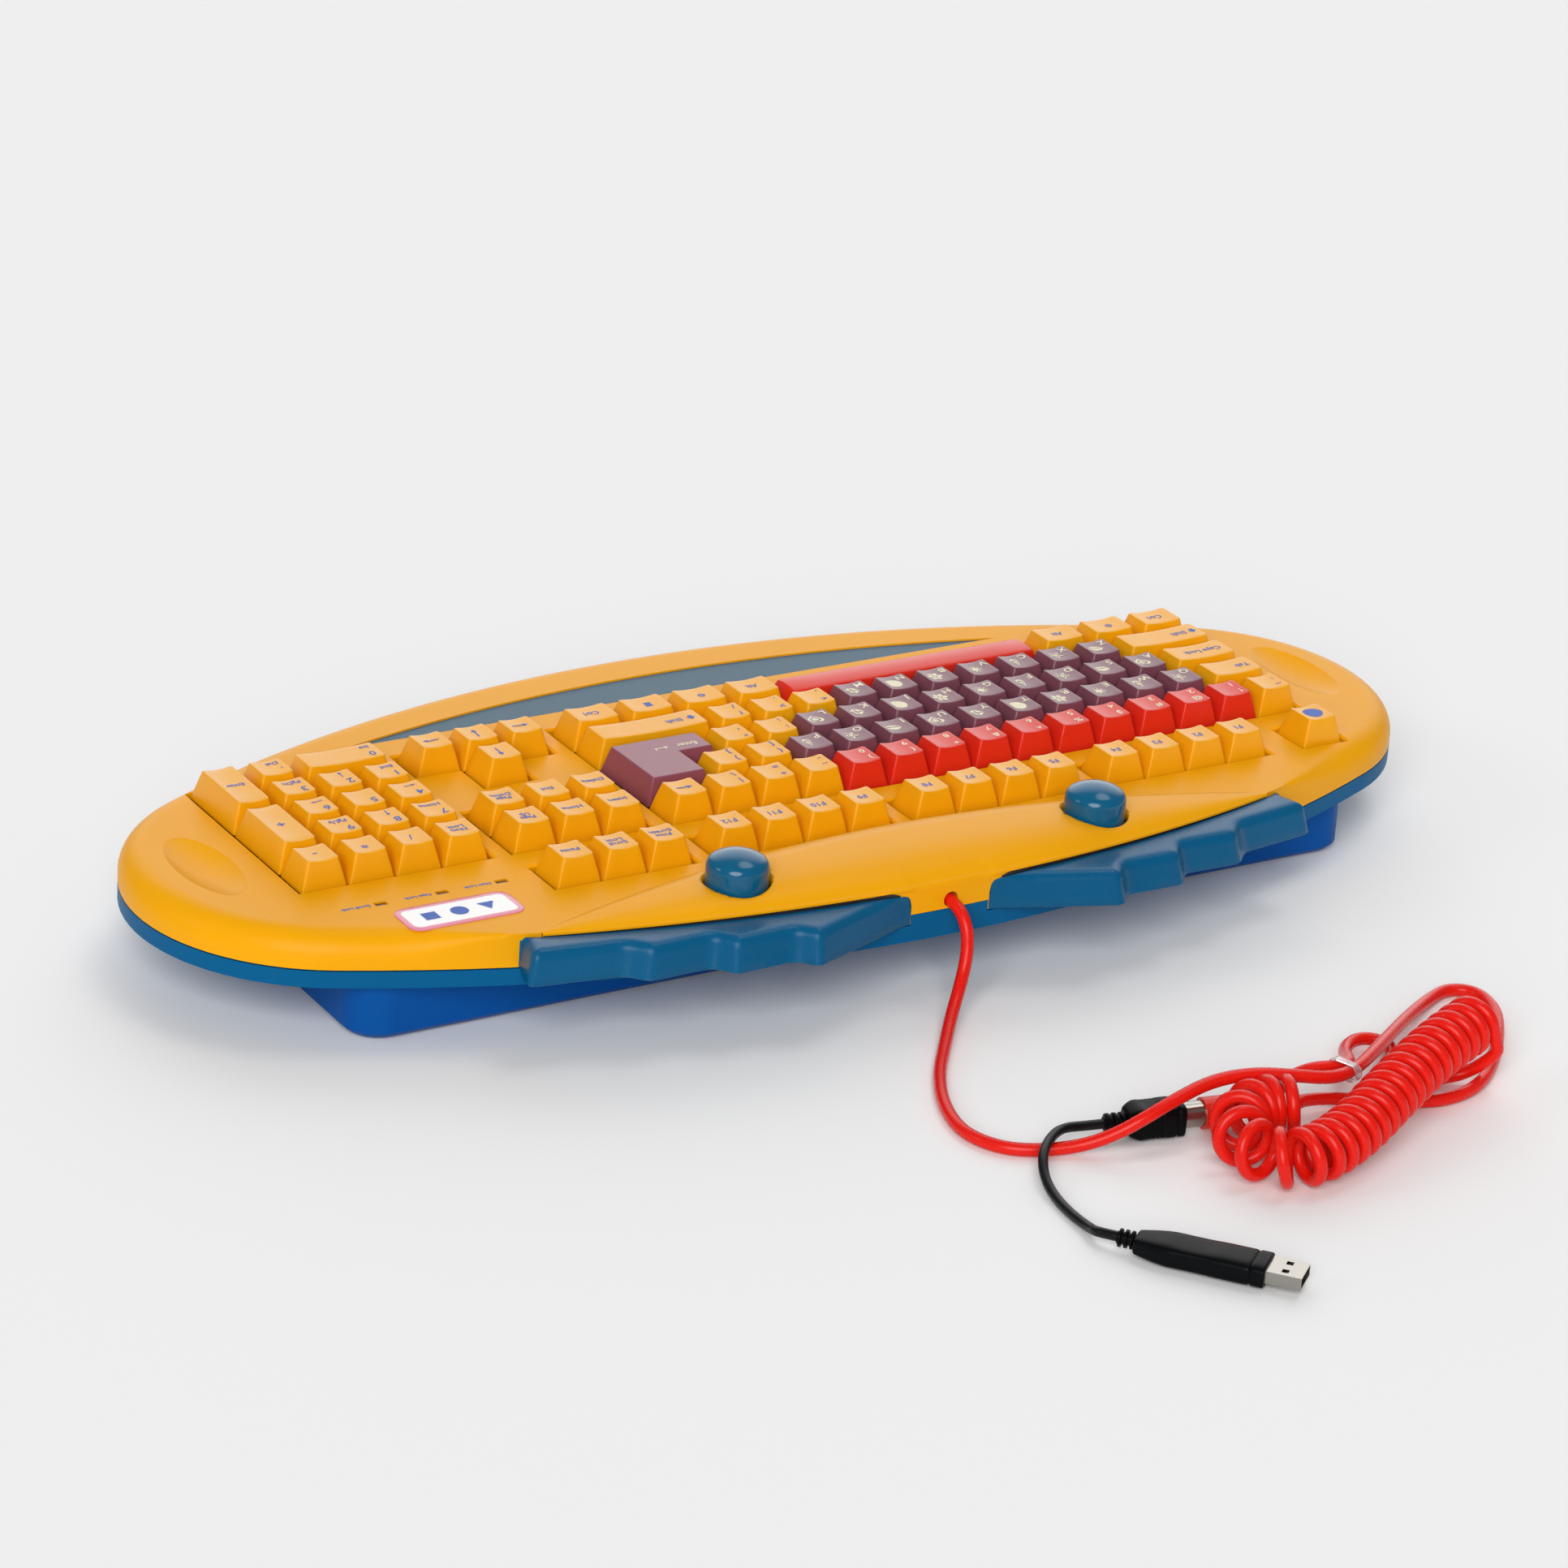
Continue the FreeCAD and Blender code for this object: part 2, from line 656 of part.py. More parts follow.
def tub_plan(z, inset):
    """D-shaped tub outline: straight rear and ends, front edge parallel to the case."""
    half = TUB_HALF_WIDTH - inset
    rear = TUB_REAR_Y - inset
    front_inset = TUB_FRONT_INSET + inset
    corner_y = front_edge(half, front_inset)
    return Part.Wire([
        line(V(half, corner_y, z), V(half, rear, z)),
        line(V(half, rear, z), V(-half, rear, z)),
        line(V(-half, rear, z), V(-half, corner_y, z)),
        arc(V(-half, corner_y, z), V(0, FRONT_EDGE_Y + front_inset, z), V(half, corner_y, z)),
    ])


def rounded_tub(z0, z1, inset):
    """The tub as a solid with rounded upright corners."""
    tub = prism(tub_plan(z0, inset), z1 - z0)
    uprights = [e for e in tub.Edges if e.BoundBox.ZLength > 0.9 * (z1 - z0)]
    return tub.makeFillet(TUB_CORNER_R - inset, uprights)


def bottom_shell():
    """The blue lower case: rim, tub, register ring and screw posts."""
    rim = prism(outline(RIM_BOTTOM_Z), RIM_TOP_Z - RIM_BOTTOM_Z)
    tub = rounded_tub(FOOT_HEIGHT, RIM_BOTTOM_Z + 1, 0.0)
    base_edges = [e for e in tub.Edges if e.BoundBox.ZMax < FOOT_HEIGHT + 0.01]
    shell = rim.fuse(tub.makeChamfer(TUB_EDGE, base_edges))
    floor_z = FOOT_HEIGHT + FLOOR_THICKNESS
    rim_floor_z = RIM_BOTTOM_Z + FLOOR_THICKNESS
    shell = shell.cut(prism(outline(rim_floor_z, WALL), RIM_TOP_Z))
    shell = shell.cut(rounded_tub(floor_z, RIM_TOP_Z + 1, TUB_WALL))
    ring = prism(outline(rim_floor_z, WALL + CLEARANCE), SEAM_Z + 3 - rim_floor_z)
    ring = ring.cut(prism(outline(rim_floor_z, WALL + CLEARANCE + 1.8), SEAM_Z))
    gap = box(-NOTCH_HALF_WIDTH, NOTCH_HALF_WIDTH, REAR_EDGE_Y - 20, REAR_EDGE_Y, SEAM_Z, DECK_Z)
    shell = shell.fuse(ring.cut(gap))
    riser = prism(outline(RIM_TOP_Z - 1), NOTCH_TOP_Z - RIM_TOP_Z + 0.8).common(
        box(-NOTCH_HALF_WIDTH + CLEARANCE, NOTCH_HALF_WIDTH - CLEARANCE, REAR_EDGE_Y - WALL, REAR_EDGE_Y + 1,
            RIM_TOP_Z - 1, NOTCH_TOP_Z))
    shell = shell.fuse(riser)
    for x, y in SCREW_POINTS:
        in_tub = abs(x) < TUB_HALF_WIDTH and y < TUB_REAR_Y
        shell = shell.fuse(cylinder(POST_R, x, y, (FOOT_HEIGHT if in_tub else RIM_BOTTOM_Z) + 1, SEAM_Z))
        shell = shell.cut(cylinder(SCREW_R + 0.2, x, y, 0, SEAM_Z + 1))
        shell = shell.cut(cylinder(SCREW_HEAD_R + 0.3, x, y, 0, SCREW_HEAD_Z + 2.0))
    for x, y in FOOT_POINTS:
        shell = shell.cut(box(x - 9, x + 9, y - 5, y + 5, 0, FOOT_HEIGHT + 0.6))
    for side in (-1, 1):
        shell = shell.fuse(cylinder(9.0, side * DOME_X, DOME_Y, rim_floor_z - 0.5, SEAM_Z))
    return shell.removeSplitter()


def rubber_feet():
    """Four pads set into the underside."""
    pads = []
    for x, y in FOOT_POINTS:
        pads.append(prism(rounded_wire(rectangle(x - 9, x + 9, y - 5, y + 5, 2.0), 0), FOOT_HEIGHT + 0.6))
    return Part.makeCompound(pads)


def case_screws():
    """Six screws up through the posts into the bosses of the top shell."""
    screws = []
    for x, y in SCREW_POINTS:
        head = cylinder(SCREW_HEAD_R, x, y, SCREW_HEAD_Z, SCREW_HEAD_Z + 2.0)
        screws.append(head.fuse(cylinder(SCREW_R, x, y, SCREW_HEAD_Z + 2.0, SEAM_Z + 6)))
    return Part.makeCompound(screws)


def palm_panel():
    """The inlay along the front edge."""
    return prism(palm_bow(DECK_Z - PALM_RECESS, 0.25), PALM_PANEL_THICKNESS)


def grip(side):
    """A finger grip: a stepped bar that leans in and is rounded along the top."""
    def section(z, lean):
        corners = [(GRIP_INNER_X, rear_edge(GRIP_INNER_X), 0.0)]
        corners += [(x, y - lean, radius) for x, y, radius in GRIP_POINTS]
        corners.append((GRIP_OUTER_X, rear_edge(GRIP_OUTER_X), 0.0))
        wire = rounded_wire([(side * x, y, radius) for x, y, radius in corners], z)
        return wire

    bar = Part.makeLoft([
        section(GRIP_BOTTOM_Z, 0.0),
        section(GRIP_SHOULDER_Z, GRIP_LEAN),
        section(GRIP_TOP_Z, GRIP_LEAN + GRIP_ROUND),
    ], True, True)
    return bar.cut(prism(outline(SEAM_Z), DECK_Z))


def dome_button(side):
    """A domed push button, with a flange under the deck that is cut back along the rear wall."""
    top = DECK_UNDER_Z - CLEARANCE
    low = top - DOME_FLANGE_THICKNESS
    cap_z = DOME_TOP_Z - DOME_CAP_R
    offset = DOME_R - DOME_SHOULDER_R
    shoulder_z = cap_z + math.sqrt((DOME_CAP_R - DOME_SHOULDER_R) ** 2 - offset ** 2)
    lift = math.atan2(shoulder_z - cap_z, offset)
    points = [V(0, 0, low), V(DOME_R, 0, low)]
    for i in range(DOME_STEPS + 1):
        angle = lift * i / DOME_STEPS
        points.append(V(offset + DOME_SHOULDER_R * math.cos(angle), 0, shoulder_z + DOME_SHOULDER_R * math.sin(angle)))
    for i in range(1, DOME_STEPS + 1):
        angle = lift + (math.pi / 2 - lift) * i / DOME_STEPS
        points.append(V(DOME_CAP_R * math.cos(angle), 0, cap_z + DOME_CAP_R * math.sin(angle)))
    points[-1] = V(0, 0, DOME_TOP_Z)
    button = flat(points).revolve(V(0, 0, 0), V(0, 0, 1), 360)
    button.translate(V(side * DOME_X, DOME_Y, 0))
    flange = cylinder(DOME_FLANGE_R, side * DOME_X, DOME_Y, low, top)
    flange = flange.common(prism(outline(low - 1, WALL + 2 * CLEARANCE), DOME_FLANGE_THICKNESS + 2))
    return button.fuse(flange).removeSplitter()


def button_pads():
    """Rubber pads on the posts under the dome buttons."""
    top = DECK_UNDER_Z - CLEARANCE * 2 - DOME_FLANGE_THICKNESS - DOME_TRAVEL
    return Part.makeCompound([cylinder(7.0, side * DOME_X, DOME_Y, SEAM_Z, top) for side in (-1, 1)])


def lock_lamps():
    """Three light pipes that stand on the key frame and end in the deck slots."""
    lamps = []
    half_x = LAMP_SLOT[0] / 2 - CLEARANCE
    half_y = LAMP_SLOT[1] / 2 - CLEARANCE
    for x in LAMP_XS:
        lamps.append(box(x - half_x, x + half_x, LAMP_Y - half_y, LAMP_Y + half_y, FRAME_TOP_Z, DECK_Z - LAMP_RECESS))
    return Part.makeCompound(lamps)


def key_frame():
    """The moulded plate whose slots guide the key stems."""
    frame = frame_slab(FRAME_TOP_Z - FRAME_THICKNESS, FRAME_TOP_Z)
    margin = (UNIT - SLOT_DEPTH) / 2.0
    for left, right, row in STEM_SLOTS:
        y = key_y(row) + margin
        frame = frame.cut(box(key_x(left) + margin, key_x(right) - margin, y, y + SLOT_DEPTH,
                              FRAME_TOP_Z - FRAME_THICKNESS, FRAME_TOP_Z))
    return frame


def sheets():
    """Dome sheet, membrane and backing plate, stacked under the key frame."""
    top = FRAME_TOP_Z - FRAME_THICKNESS
    stack = {}
    for name, thickness in (("dome_sheet", SHEET_THICKNESS), ("membrane", MEMBRANE_THICKNESS),
                            ("backing_plate", PLATE_THICKNESS)):
        stack[name] = frame_slab(top - thickness, top, 0.5)
        top -= thickness
    return stack


def controller_board():
    """The circuit board on spacers under the backing plate, with its chip and cord header."""
    top = FRAME_TOP_Z - FRAME_THICKNESS - SHEET_THICKNESS - MEMBRANE_THICKNESS - PLATE_THICKNESS
    x0, x1, y0, y1 = 20.0, 84.0, 10.0, 46.0
    board = box(x0, x1, y0, y1, top - 4.6, top - 3.0)
    for x in (x0 + 4, x1 - 4):
        for y in (y0 + 4, y1 - 4):
            board = board.fuse(box(x - 2, x + 2, y - 2, y + 2, top - 3.0, top))
    chip = box(44, 58, 22, 34, top - 6.8, top - 4.6)
    header = box(24, 36, 38, 44, top - 10.0, top - 4.6)
    return board.fuse(chip).fuse(header).removeSplitter()


def cord_clamp():
    """The block inside the case that grips the cord."""
    width, depth = CLAMP_SIZE
    base = RIM_BOTTOM_Z + FLOOR_THICKNESS
    return box(-width / 2, width / 2, CLAMP_REAR_Y - depth, CLAMP_REAR_Y, base, EXIT_Z + CORD_R)


def cord_path(points, name):
    """Straight runs joined by the largest tangent arcs that fit."""
    edges = []
    radii = []
    last = points[0]
    length = 0.0
    for i in range(1, len(points) - 1):
        back = points[i - 1] - points[i]
        ahead = points[i + 1] - points[i]
        turn = math.pi - back.getAngle(ahead)
        radius = 0.45 * min(back.Length, ahead.Length) / math.tan(turn / 2.0)
        radii.append(radius)
        reach = radius * math.tan(turn / 2.0)
        back.normalize()
        ahead.normalize()
        first = points[i] + back * reach
        final = points[i] + ahead * reach
        middle = points[i] + (back + ahead).normalize() * (radius / math.cos(turn / 2.0) - radius)
        edges += [line(last, first), arc(first, middle, final)]
        last = final
    edges.append(line(last, points[-1]))
    wire = Part.Wire(edges)
    length = wire.Length
    print(name, "length", round(length, 1), "least radius", round(min(radii), 1),
          "radii", [round(r, 1) for r in radii])
    return wire


def tube(wire, start, along, radius, name):
    """A faceted tube swept along a path."""
    along = V(along).normalize()
    across = along.cross(V(0, 0, 1) if abs(along.z) < 0.9 else V(1, 0, 0)).normalize()
    other = along.cross(across)
    corners = []
    for i in range(CORD_SIDES + 1):
        angle = 2.0 * math.pi * i / CORD_SIDES
        corners.append(start + (across * math.cos(angle) + other * math.sin(angle)) * radius)
    shell = Part.BRepOffsetAPI.MakePipeShell(wire)
    shell.add(Part.makePolygon(corners))
    shell.build()
    shell.makeSolid()
    solid = shell.shape()
    section = CORD_SIDES / 2.0 * radius ** 2 * math.sin(2.0 * math.pi / CORD_SIDES)
    print(name, "volume", round(solid.Volume, 1), "section times length", round(section * wire.Length, 1),
          "valid", solid.isValid())
    return solid


def curl_points():
    """Fine points along the curly section, and every quarter turn a point with its direction."""
    curve = Part.BSplineCurve()
    curve.interpolate([vec(p) for p in CURL_AXIS])
    axis = curve.toShape()
    stretches = [list(s) for s in CURL_STRETCHES]
    stretches[-1][0] = axis.Length - sum(s[0] for s in stretches[:-1])
    turns = sum(s[1] for s in stretches)
    fine = 48
    normal = V(0, 0, 1)
    places = []
    for i in range(int(turns * fine) + 1):
        turn = i / fine
        reach = 0.0
        left = turn
        for span, count in stretches:
            part = min(left, count)
            reach += span * part / count
            left -= part
        parameter = axis.getParameterByLength(min(reach, axis.Length))
        middle = axis.valueAt(parameter)
        tangent = axis.tangentAt(parameter)
        normal = (normal - tangent * normal.dot(tangent)).normalize()
        side = tangent.cross(normal)
        angle = math.radians(CURL_START_ANGLE) + 2.0 * math.pi * turn
        places.append(middle + (normal * math.cos(angle) + side * math.sin(angle)) * CURL_R)
    coarse = []
    for i in range(0, len(places), fine // 4):
        before = places[max(i - 1, 0)]
        after = places[min(i + 1, len(places) - 1)]
        coarse.append((places[i], (after - before).normalize()))
    return places, coarse


def half_arc(start, direction, end):
    """The arc that leaves start in a direction and reaches end."""
    chord = end - start
    unit = V(chord).normalize()
    bend = direction.getAngle(unit)
    rise = direction - unit * direction.dot(unit)
    middle = (start + end) * 0.5 + rise.normalize() * (chord.Length / 2.0 * math.tan(bend / 2.0))
    return arc(start, middle, end)


def biarc(start, leave, end, arrive):
    """Two tangent arcs between two points with given directions."""
    chord = end - start
    both = leave + arrive
    spread = 2.0 * (1.0 - leave.dot(arrive))
    along = chord.dot(both)
    reach = (-along + math.sqrt(along ** 2 + spread * chord.dot(chord))) / spread
    joint = (start + leave * reach + end - arrive * reach) * 0.5
    first = half_arc(start, leave, joint)
    second = half_arc(end, arrive * -1.0, joint)
    return [first, second]


def least_gap(places):
    """Least clear distance between turns, measured on points."""
    least = 1e9
    for i in range(0, len(places), 2):
        for j in range(i + 30, min(i + 110, len(places)), 2):
            least = min(least, (places[i] - places[j]).Length)
    return least - 2.0 * CORD_R


def curly_cord():
    """The curly section and the straight ends that the lead and tail meet."""
    places, coarse = curl_points()
    gap = least_gap(places)
    print("cord_curl least gap to itself", round(gap, 2), "allowed", CORD_GAP_LEAST)
    start, leave = coarse[0]
    end, arrive = coarse[-1]
    straight = 2.0 * CORD_R
    entry = start - leave * straight
    exit_point = end + arrive * straight
    edges = [line(entry, start)]
    for (a, leave_a), (b, arrive_b) in zip(coarse[:-1], coarse[1:]):
        edges += biarc(a, leave_a, b, arrive_b)
    edges.append(line(end, exit_point))
    wire = Part.Wire(edges)
    print("cord_curl length", round(wire.Length, 1), "turns", (len(coarse) - 1) / 4)
    return tube(wire, entry, leave, CORD_R, "cord_curl"), entry, leave, exit_point, arrive


def local_axes(along):
    """Rotation that turns +X into a direction, with Z kept upright."""
    return FreeCAD.Rotation(V(1, 0, 0), V(along).normalize())


def placed(shape, start, along):
    """A shape built along +X from the origin, set on its own axis."""
    shape.Placement = FreeCAD.Placement(vec(start), local_axes(vec(along)))
    return shape


def strain_relief(length, big, small):
    """A ribbed sleeve along -X that ends at the origin."""
    step = length / RELIEF_RIBS
    sleeve = Part.makeCylinder(small, length, V(-length, 0, 0), V(1, 0, 0))
    for i in range(RELIEF_RIBS):
        radius = small + (big - small) * (i + 1) / RELIEF_RIBS
        sleeve = sleeve.fuse(Part.makeCylinder(radius, step * 0.6, V(-length + step * (i + 0.4), 0, 0), V(1, 0, 0)))
    return sleeve


def along_x(corners, x0, x1):
    """A prism along X from a (y, z) rounded outline."""
    wire = rounded_wire(corners, 0)
    solid = prism(wire, x1 - x0)
    solid.rotate(V(0, 0, 0), V(1, 1, 1), 120)
    solid.translate(V(x0, 0, 0))
    return solid


def adapter_pieces():
    """Round plug, adapter socket, black lead and USB plug."""
    length, width, height = SOCKET_SIZE
    socket = along_x(rectangle(-width / 2, width / 2, -height / 2, height / 2, 3.0), 0, length)
    socket = socket.fuse(strain_relief(RELIEF_LENGTH, 4.2, 2.6))
    socket = socket.cut(Part.makeCylinder(SOCKET_BORE_R, BARREL_INSERTED + 2, V(length - BARREL_INSERTED - 1, 0, 0),
                                          V(1, 0, 0))).removeSplitter()
    barrel_start = length - BARREL_INSERTED
    barrel_end = length + BARREL_SHOWN
    barrel = Part.makeCylinder(BARREL_R, barrel_end - barrel_start, V(barrel_start, 0, 0), V(1, 0, 0))
    barrel = barrel.cut(Part.makeCylinder(BARREL_R - BARREL_WALL, BARREL_INSERTED, V(barrel_start, 0, 0), V(1, 0, 0)))
    handle = Part.makeCylinder(PLUG_GRIP_R, PLUG_GRIP_LENGTH * 0.7, V(barrel_end, 0, 0), V(1, 0, 0))
    handle = handle.fuse(Part.makeCone(PLUG_GRIP_R, CORD_R + 0.8, PLUG_GRIP_LENGTH * 0.3,
                                       V(barrel_end + PLUG_GRIP_LENGTH * 0.7, 0, 0), V(1, 0, 0)))
    pieces = {
        "adapter_socket": placed(socket, PLUG_START, PLUG_ALONG),
        "plug_barrel": placed(barrel, PLUG_START, PLUG_ALONG),
        "plug_grip": placed(handle.removeSplitter(), PLUG_START, PLUG_ALONG),
    }
    half = USB_BODY_WIDTH / 2
    waist = half - 1.6
    plan = rounded_wire((
        (0, -half * 0.55, 2.0), (9, -half, 6.0), (24, -waist, 20.0), (USB_BODY_LENGTH, -half + 0.8, 1.5),
        (USB_BODY_LENGTH, half - 0.8, 1.5), (24, waist, 20.0), (9, half, 6.0), (0, half * 0.55, 2.0),
    ), -USB_BODY_HEIGHT / 2)
    body = prism(plan, USB_BODY_HEIGHT)
    body = body.fuse(strain_relief(RELIEF_LENGTH * 0.8, 3.6, 2.4))
    shell_length, shell_width, shell_height = USB_SHELL
    mouth = rectangle(-shell_width / 2 + USB_SHELL_WALL, shell_width / 2 - USB_SHELL_WALL,
                      -shell_height / 2 + USB_SHELL_WALL, shell_height / 2 - USB_SHELL_WALL)
    shell = along_x(rectangle(-shell_width / 2, shell_width / 2, -shell_height / 2, shell_height / 2),
                    USB_BODY_LENGTH, USB_BODY_LENGTH + shell_length)
    shell = shell.cut(along_x(mouth, USB_BODY_LENGTH, USB_BODY_LENGTH + shell_length))
    for y in (-3.0, 3.0):
        shell = shell.cut(box(USB_BODY_LENGTH + 5, USB_BODY_LENGTH + 7.4, y - 1.2, y + 1.2, -5, 5))
    tongue = box(USB_BODY_LENGTH - 0.5, USB_BODY_LENGTH + shell_length - 0.6, -shell_width / 2 + USB_SHELL_WALL,
                 shell_width / 2 - USB_SHELL_WALL, -shell_height / 2 + USB_SHELL_WALL, -0.1)
    pieces["usb_body"] = placed(body.fuse(tongue).removeSplitter(), USB_START, USB_ALONG)
    pieces["usb_shell"] = placed(shell, USB_START, USB_ALONG)
    return pieces


def cord_tie():
    """A clear strap round the two strands."""
    wide, high = TIE_INNER
    outer = along_x(rectangle(-wide / 2 - TIE_THICKNESS, wide / 2 + TIE_THICKNESS, -high / 2 - TIE_THICKNESS,
                              high / 2 + TIE_THICKNESS, high / 2 + TIE_THICKNESS - 0.05), 0, TIE_WIDTH)
    inner = along_x(rectangle(-wide / 2, wide / 2, -high / 2, high / 2, high / 2 - 0.05), 0, TIE_WIDTH)
    strap = outer.cut(inner)
    strap.translate(V(-TIE_WIDTH / 2, 0, 0))
    return placed(strap, TIE_CENTRE, TIE_ALONG)


def cords():
    """Lead, curls, tail and black lead."""
    curl, entry, leave, exit_point, arrive = curly_cord()
    lead_points = [vec(p) for p in LEAD_POINTS] + [entry - leave * 9.0, entry]
    lead = tube(cord_path(lead_points, "cord_lead"), lead_points[0], lead_points[1] - lead_points[0], CORD_R,
                "cord_lead")
    plug_along = vec(PLUG_ALONG).normalize()
    plug_end = vec(PLUG_START) + plug_along * (SOCKET_SIZE[0] + BARREL_SHOWN + PLUG_GRIP_LENGTH)
    tail_points = [exit_point, exit_point + arrive * 4.6] + [vec(p) for p in TAIL_POINTS]
    tail_points += [plug_end + plug_along * 8.0, plug_end]
    tail = tube(cord_path(tail_points, "cord_tail"), exit_point, arrive, CORD_R, "cord_tail")
    socket_end = vec(PLUG_START) - plug_along * RELIEF_LENGTH
    usb_along = vec(USB_ALONG).normalize()
    usb_end = vec(USB_START) - usb_along * RELIEF_LENGTH * 0.8
    black_points = [socket_end, socket_end - plug_along * 7.0] + [vec(p) for p in BLACK_POINTS]
    black_points += [usb_end - usb_along * 7.0, usb_end]
    black = tube(cord_path(black_points, "adapter_lead"), socket_end, plug_along * -1.0, BLACK_R, "adapter_lead")
    return {"cord_curl": curl, "cord_lead": lead, "cord_tail": tail, "adapter_lead": black}


def build():
    """Every node by name."""
    nodes = {
        "top_shell": top_shell(),
        "bottom_shell": bottom_shell(),
        "palm_panel": palm_panel(),
        "left_hand_grip": grip(-1),
        "right_hand_grip": grip(1),
        "left_dome_button": dome_button(-1),
        "right_dome_button": dome_button(1),
        "button_pads": button_pads(),
        "lock_lamps": lock_lamps(),
        "key_frame": key_frame(),
        "controller_board": controller_board(),
        "case_screws": case_screws(),
        "rubber_feet": rubber_feet(),
        "cord_clamp": cord_clamp(),
        "cord_tie": cord_tie(),
        "enter_key": enter_key(),
    }
    nodes.update(sheets())
    nodes.update({name: key_group(keys) for name, keys in KEY_NODES.items()})
    nodes.update(adapter_pieces())
    nodes.update(cords())
    return nodes


def main():
    """Write one STEP file per node."""
    os.makedirs("parts", exist_ok=True)
    for name, shape in build().items():
        shape.exportStep(os.path.join("parts", name + ".step"))


if __name__ == "__main__":
    main()
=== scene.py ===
"""Look of the children's wired computer keyboard: key caps, legends, grips, domes, cords and finishes.

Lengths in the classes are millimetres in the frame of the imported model: +X is the user's right, +Y the
cord side and +Z up. Meshes are written in metres.
"""
import logging
import math
from dataclasses import dataclass
from enum import Enum
from typing import Any, Iterable, Optional, Sequence

import bpy
import numpy as np
from mathutils import Matrix, Vector


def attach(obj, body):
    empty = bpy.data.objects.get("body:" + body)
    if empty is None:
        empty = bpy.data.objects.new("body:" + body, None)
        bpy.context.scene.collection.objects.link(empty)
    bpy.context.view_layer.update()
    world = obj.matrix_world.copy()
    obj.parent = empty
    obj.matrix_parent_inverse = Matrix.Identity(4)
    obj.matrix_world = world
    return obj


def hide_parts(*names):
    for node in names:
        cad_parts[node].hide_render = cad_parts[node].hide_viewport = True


logging.basicConfig(level=logging.INFO, format="%(message)s")
LOG = logging.getLogger("keyboard")

Point = tuple[float, float, float]
Limits = tuple[float, float, float, float]
Outline = np.ndarray
Patch = tuple[np.ndarray, list[list[int]]]

MM = 0.001
CASE = "case"
RIGHT_ANGLE = math.pi / 2.0
# Edges sharper than this are shaded as edges
SHARP_DEGREES = 40.0
# Prints stand this far over the plastic
PRINT_LIFT = 0.07
# Colour sockets of a Mix node: both inputs and the result
MIX_A = 6
MIX_B = 7
MIX_RESULT = 2
# Middle of a dome button and of its hole in the cowl
DOME_X = 77.5
DOME_Y = 89.0
# Where the two plugs of the adapter start, and the way they point
SOCKET_START = (6.0, 239.0, 6.6)
SOCKET_ALONG = (-0.98, 0.2, 0.0)
USB_START = (50.0, 311.0, 5.0)
USB_ALONG = (-0.635, 0.772, 0.0)

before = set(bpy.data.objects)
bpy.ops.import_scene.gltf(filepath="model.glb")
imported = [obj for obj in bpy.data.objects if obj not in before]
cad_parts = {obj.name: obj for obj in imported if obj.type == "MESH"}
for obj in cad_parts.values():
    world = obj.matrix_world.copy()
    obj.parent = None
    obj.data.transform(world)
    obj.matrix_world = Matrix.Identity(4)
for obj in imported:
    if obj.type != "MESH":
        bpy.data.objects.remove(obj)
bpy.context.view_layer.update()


def linear(hex_colour: str) -> tuple[float, float, float, float]:
    """Turn an sRGB hex colour into linear light.

    Args:
        hex_colour: Colour such as "#F2A900".

    Returns:
        Linear red, green, blue and an alpha of one.
    """
    digits = hex_colour.lstrip("#")
    srgb = np.array([int(digits[i:i + 2], 16) for i in (0, 2, 4)]) / 255.0
    light = np.where(srgb <= 0.04045, srgb / 12.92, ((srgb + 0.055) / 1.055) ** 2.4)
    return float(light[0]), float(light[1]), float(light[2]), 1.0


def add_node(
    tree: bpy.types.NodeTree, kind: str, settings: dict[Any, Any], links: dict[Any, Any]
) -> bpy.types.Node:
    """Add a shader node with its settings and links.

    Args:
        tree: Node tree that gets the node.
        kind: Blender's name of the node type.
        settings: Attribute names, or input names or numbers, with their values.
        links: Input names or numbers, with the output sockets that feed them.

    Returns:
        The new node.
    """
    node = tree.nodes.new(kind)
    for name, value in settings.items():
        if isinstance(name, int) or name in node.inputs:
            node.inputs[name].default_value = value
        else:
            setattr(node, name, value)
    for name, socket in links.items():
        tree.links.new(socket, node.inputs[name])
    return node


def empty_tree(owner: Any) -> bpy.types.NodeTree:
    """The node tree of a material or world, with nothing in it.

    Args:
        owner: The material or world.

    Returns:
        Its tree.
    """
    owner.use_nodes = True
    owner.node_tree.nodes.clear()
    return owner.node_tree


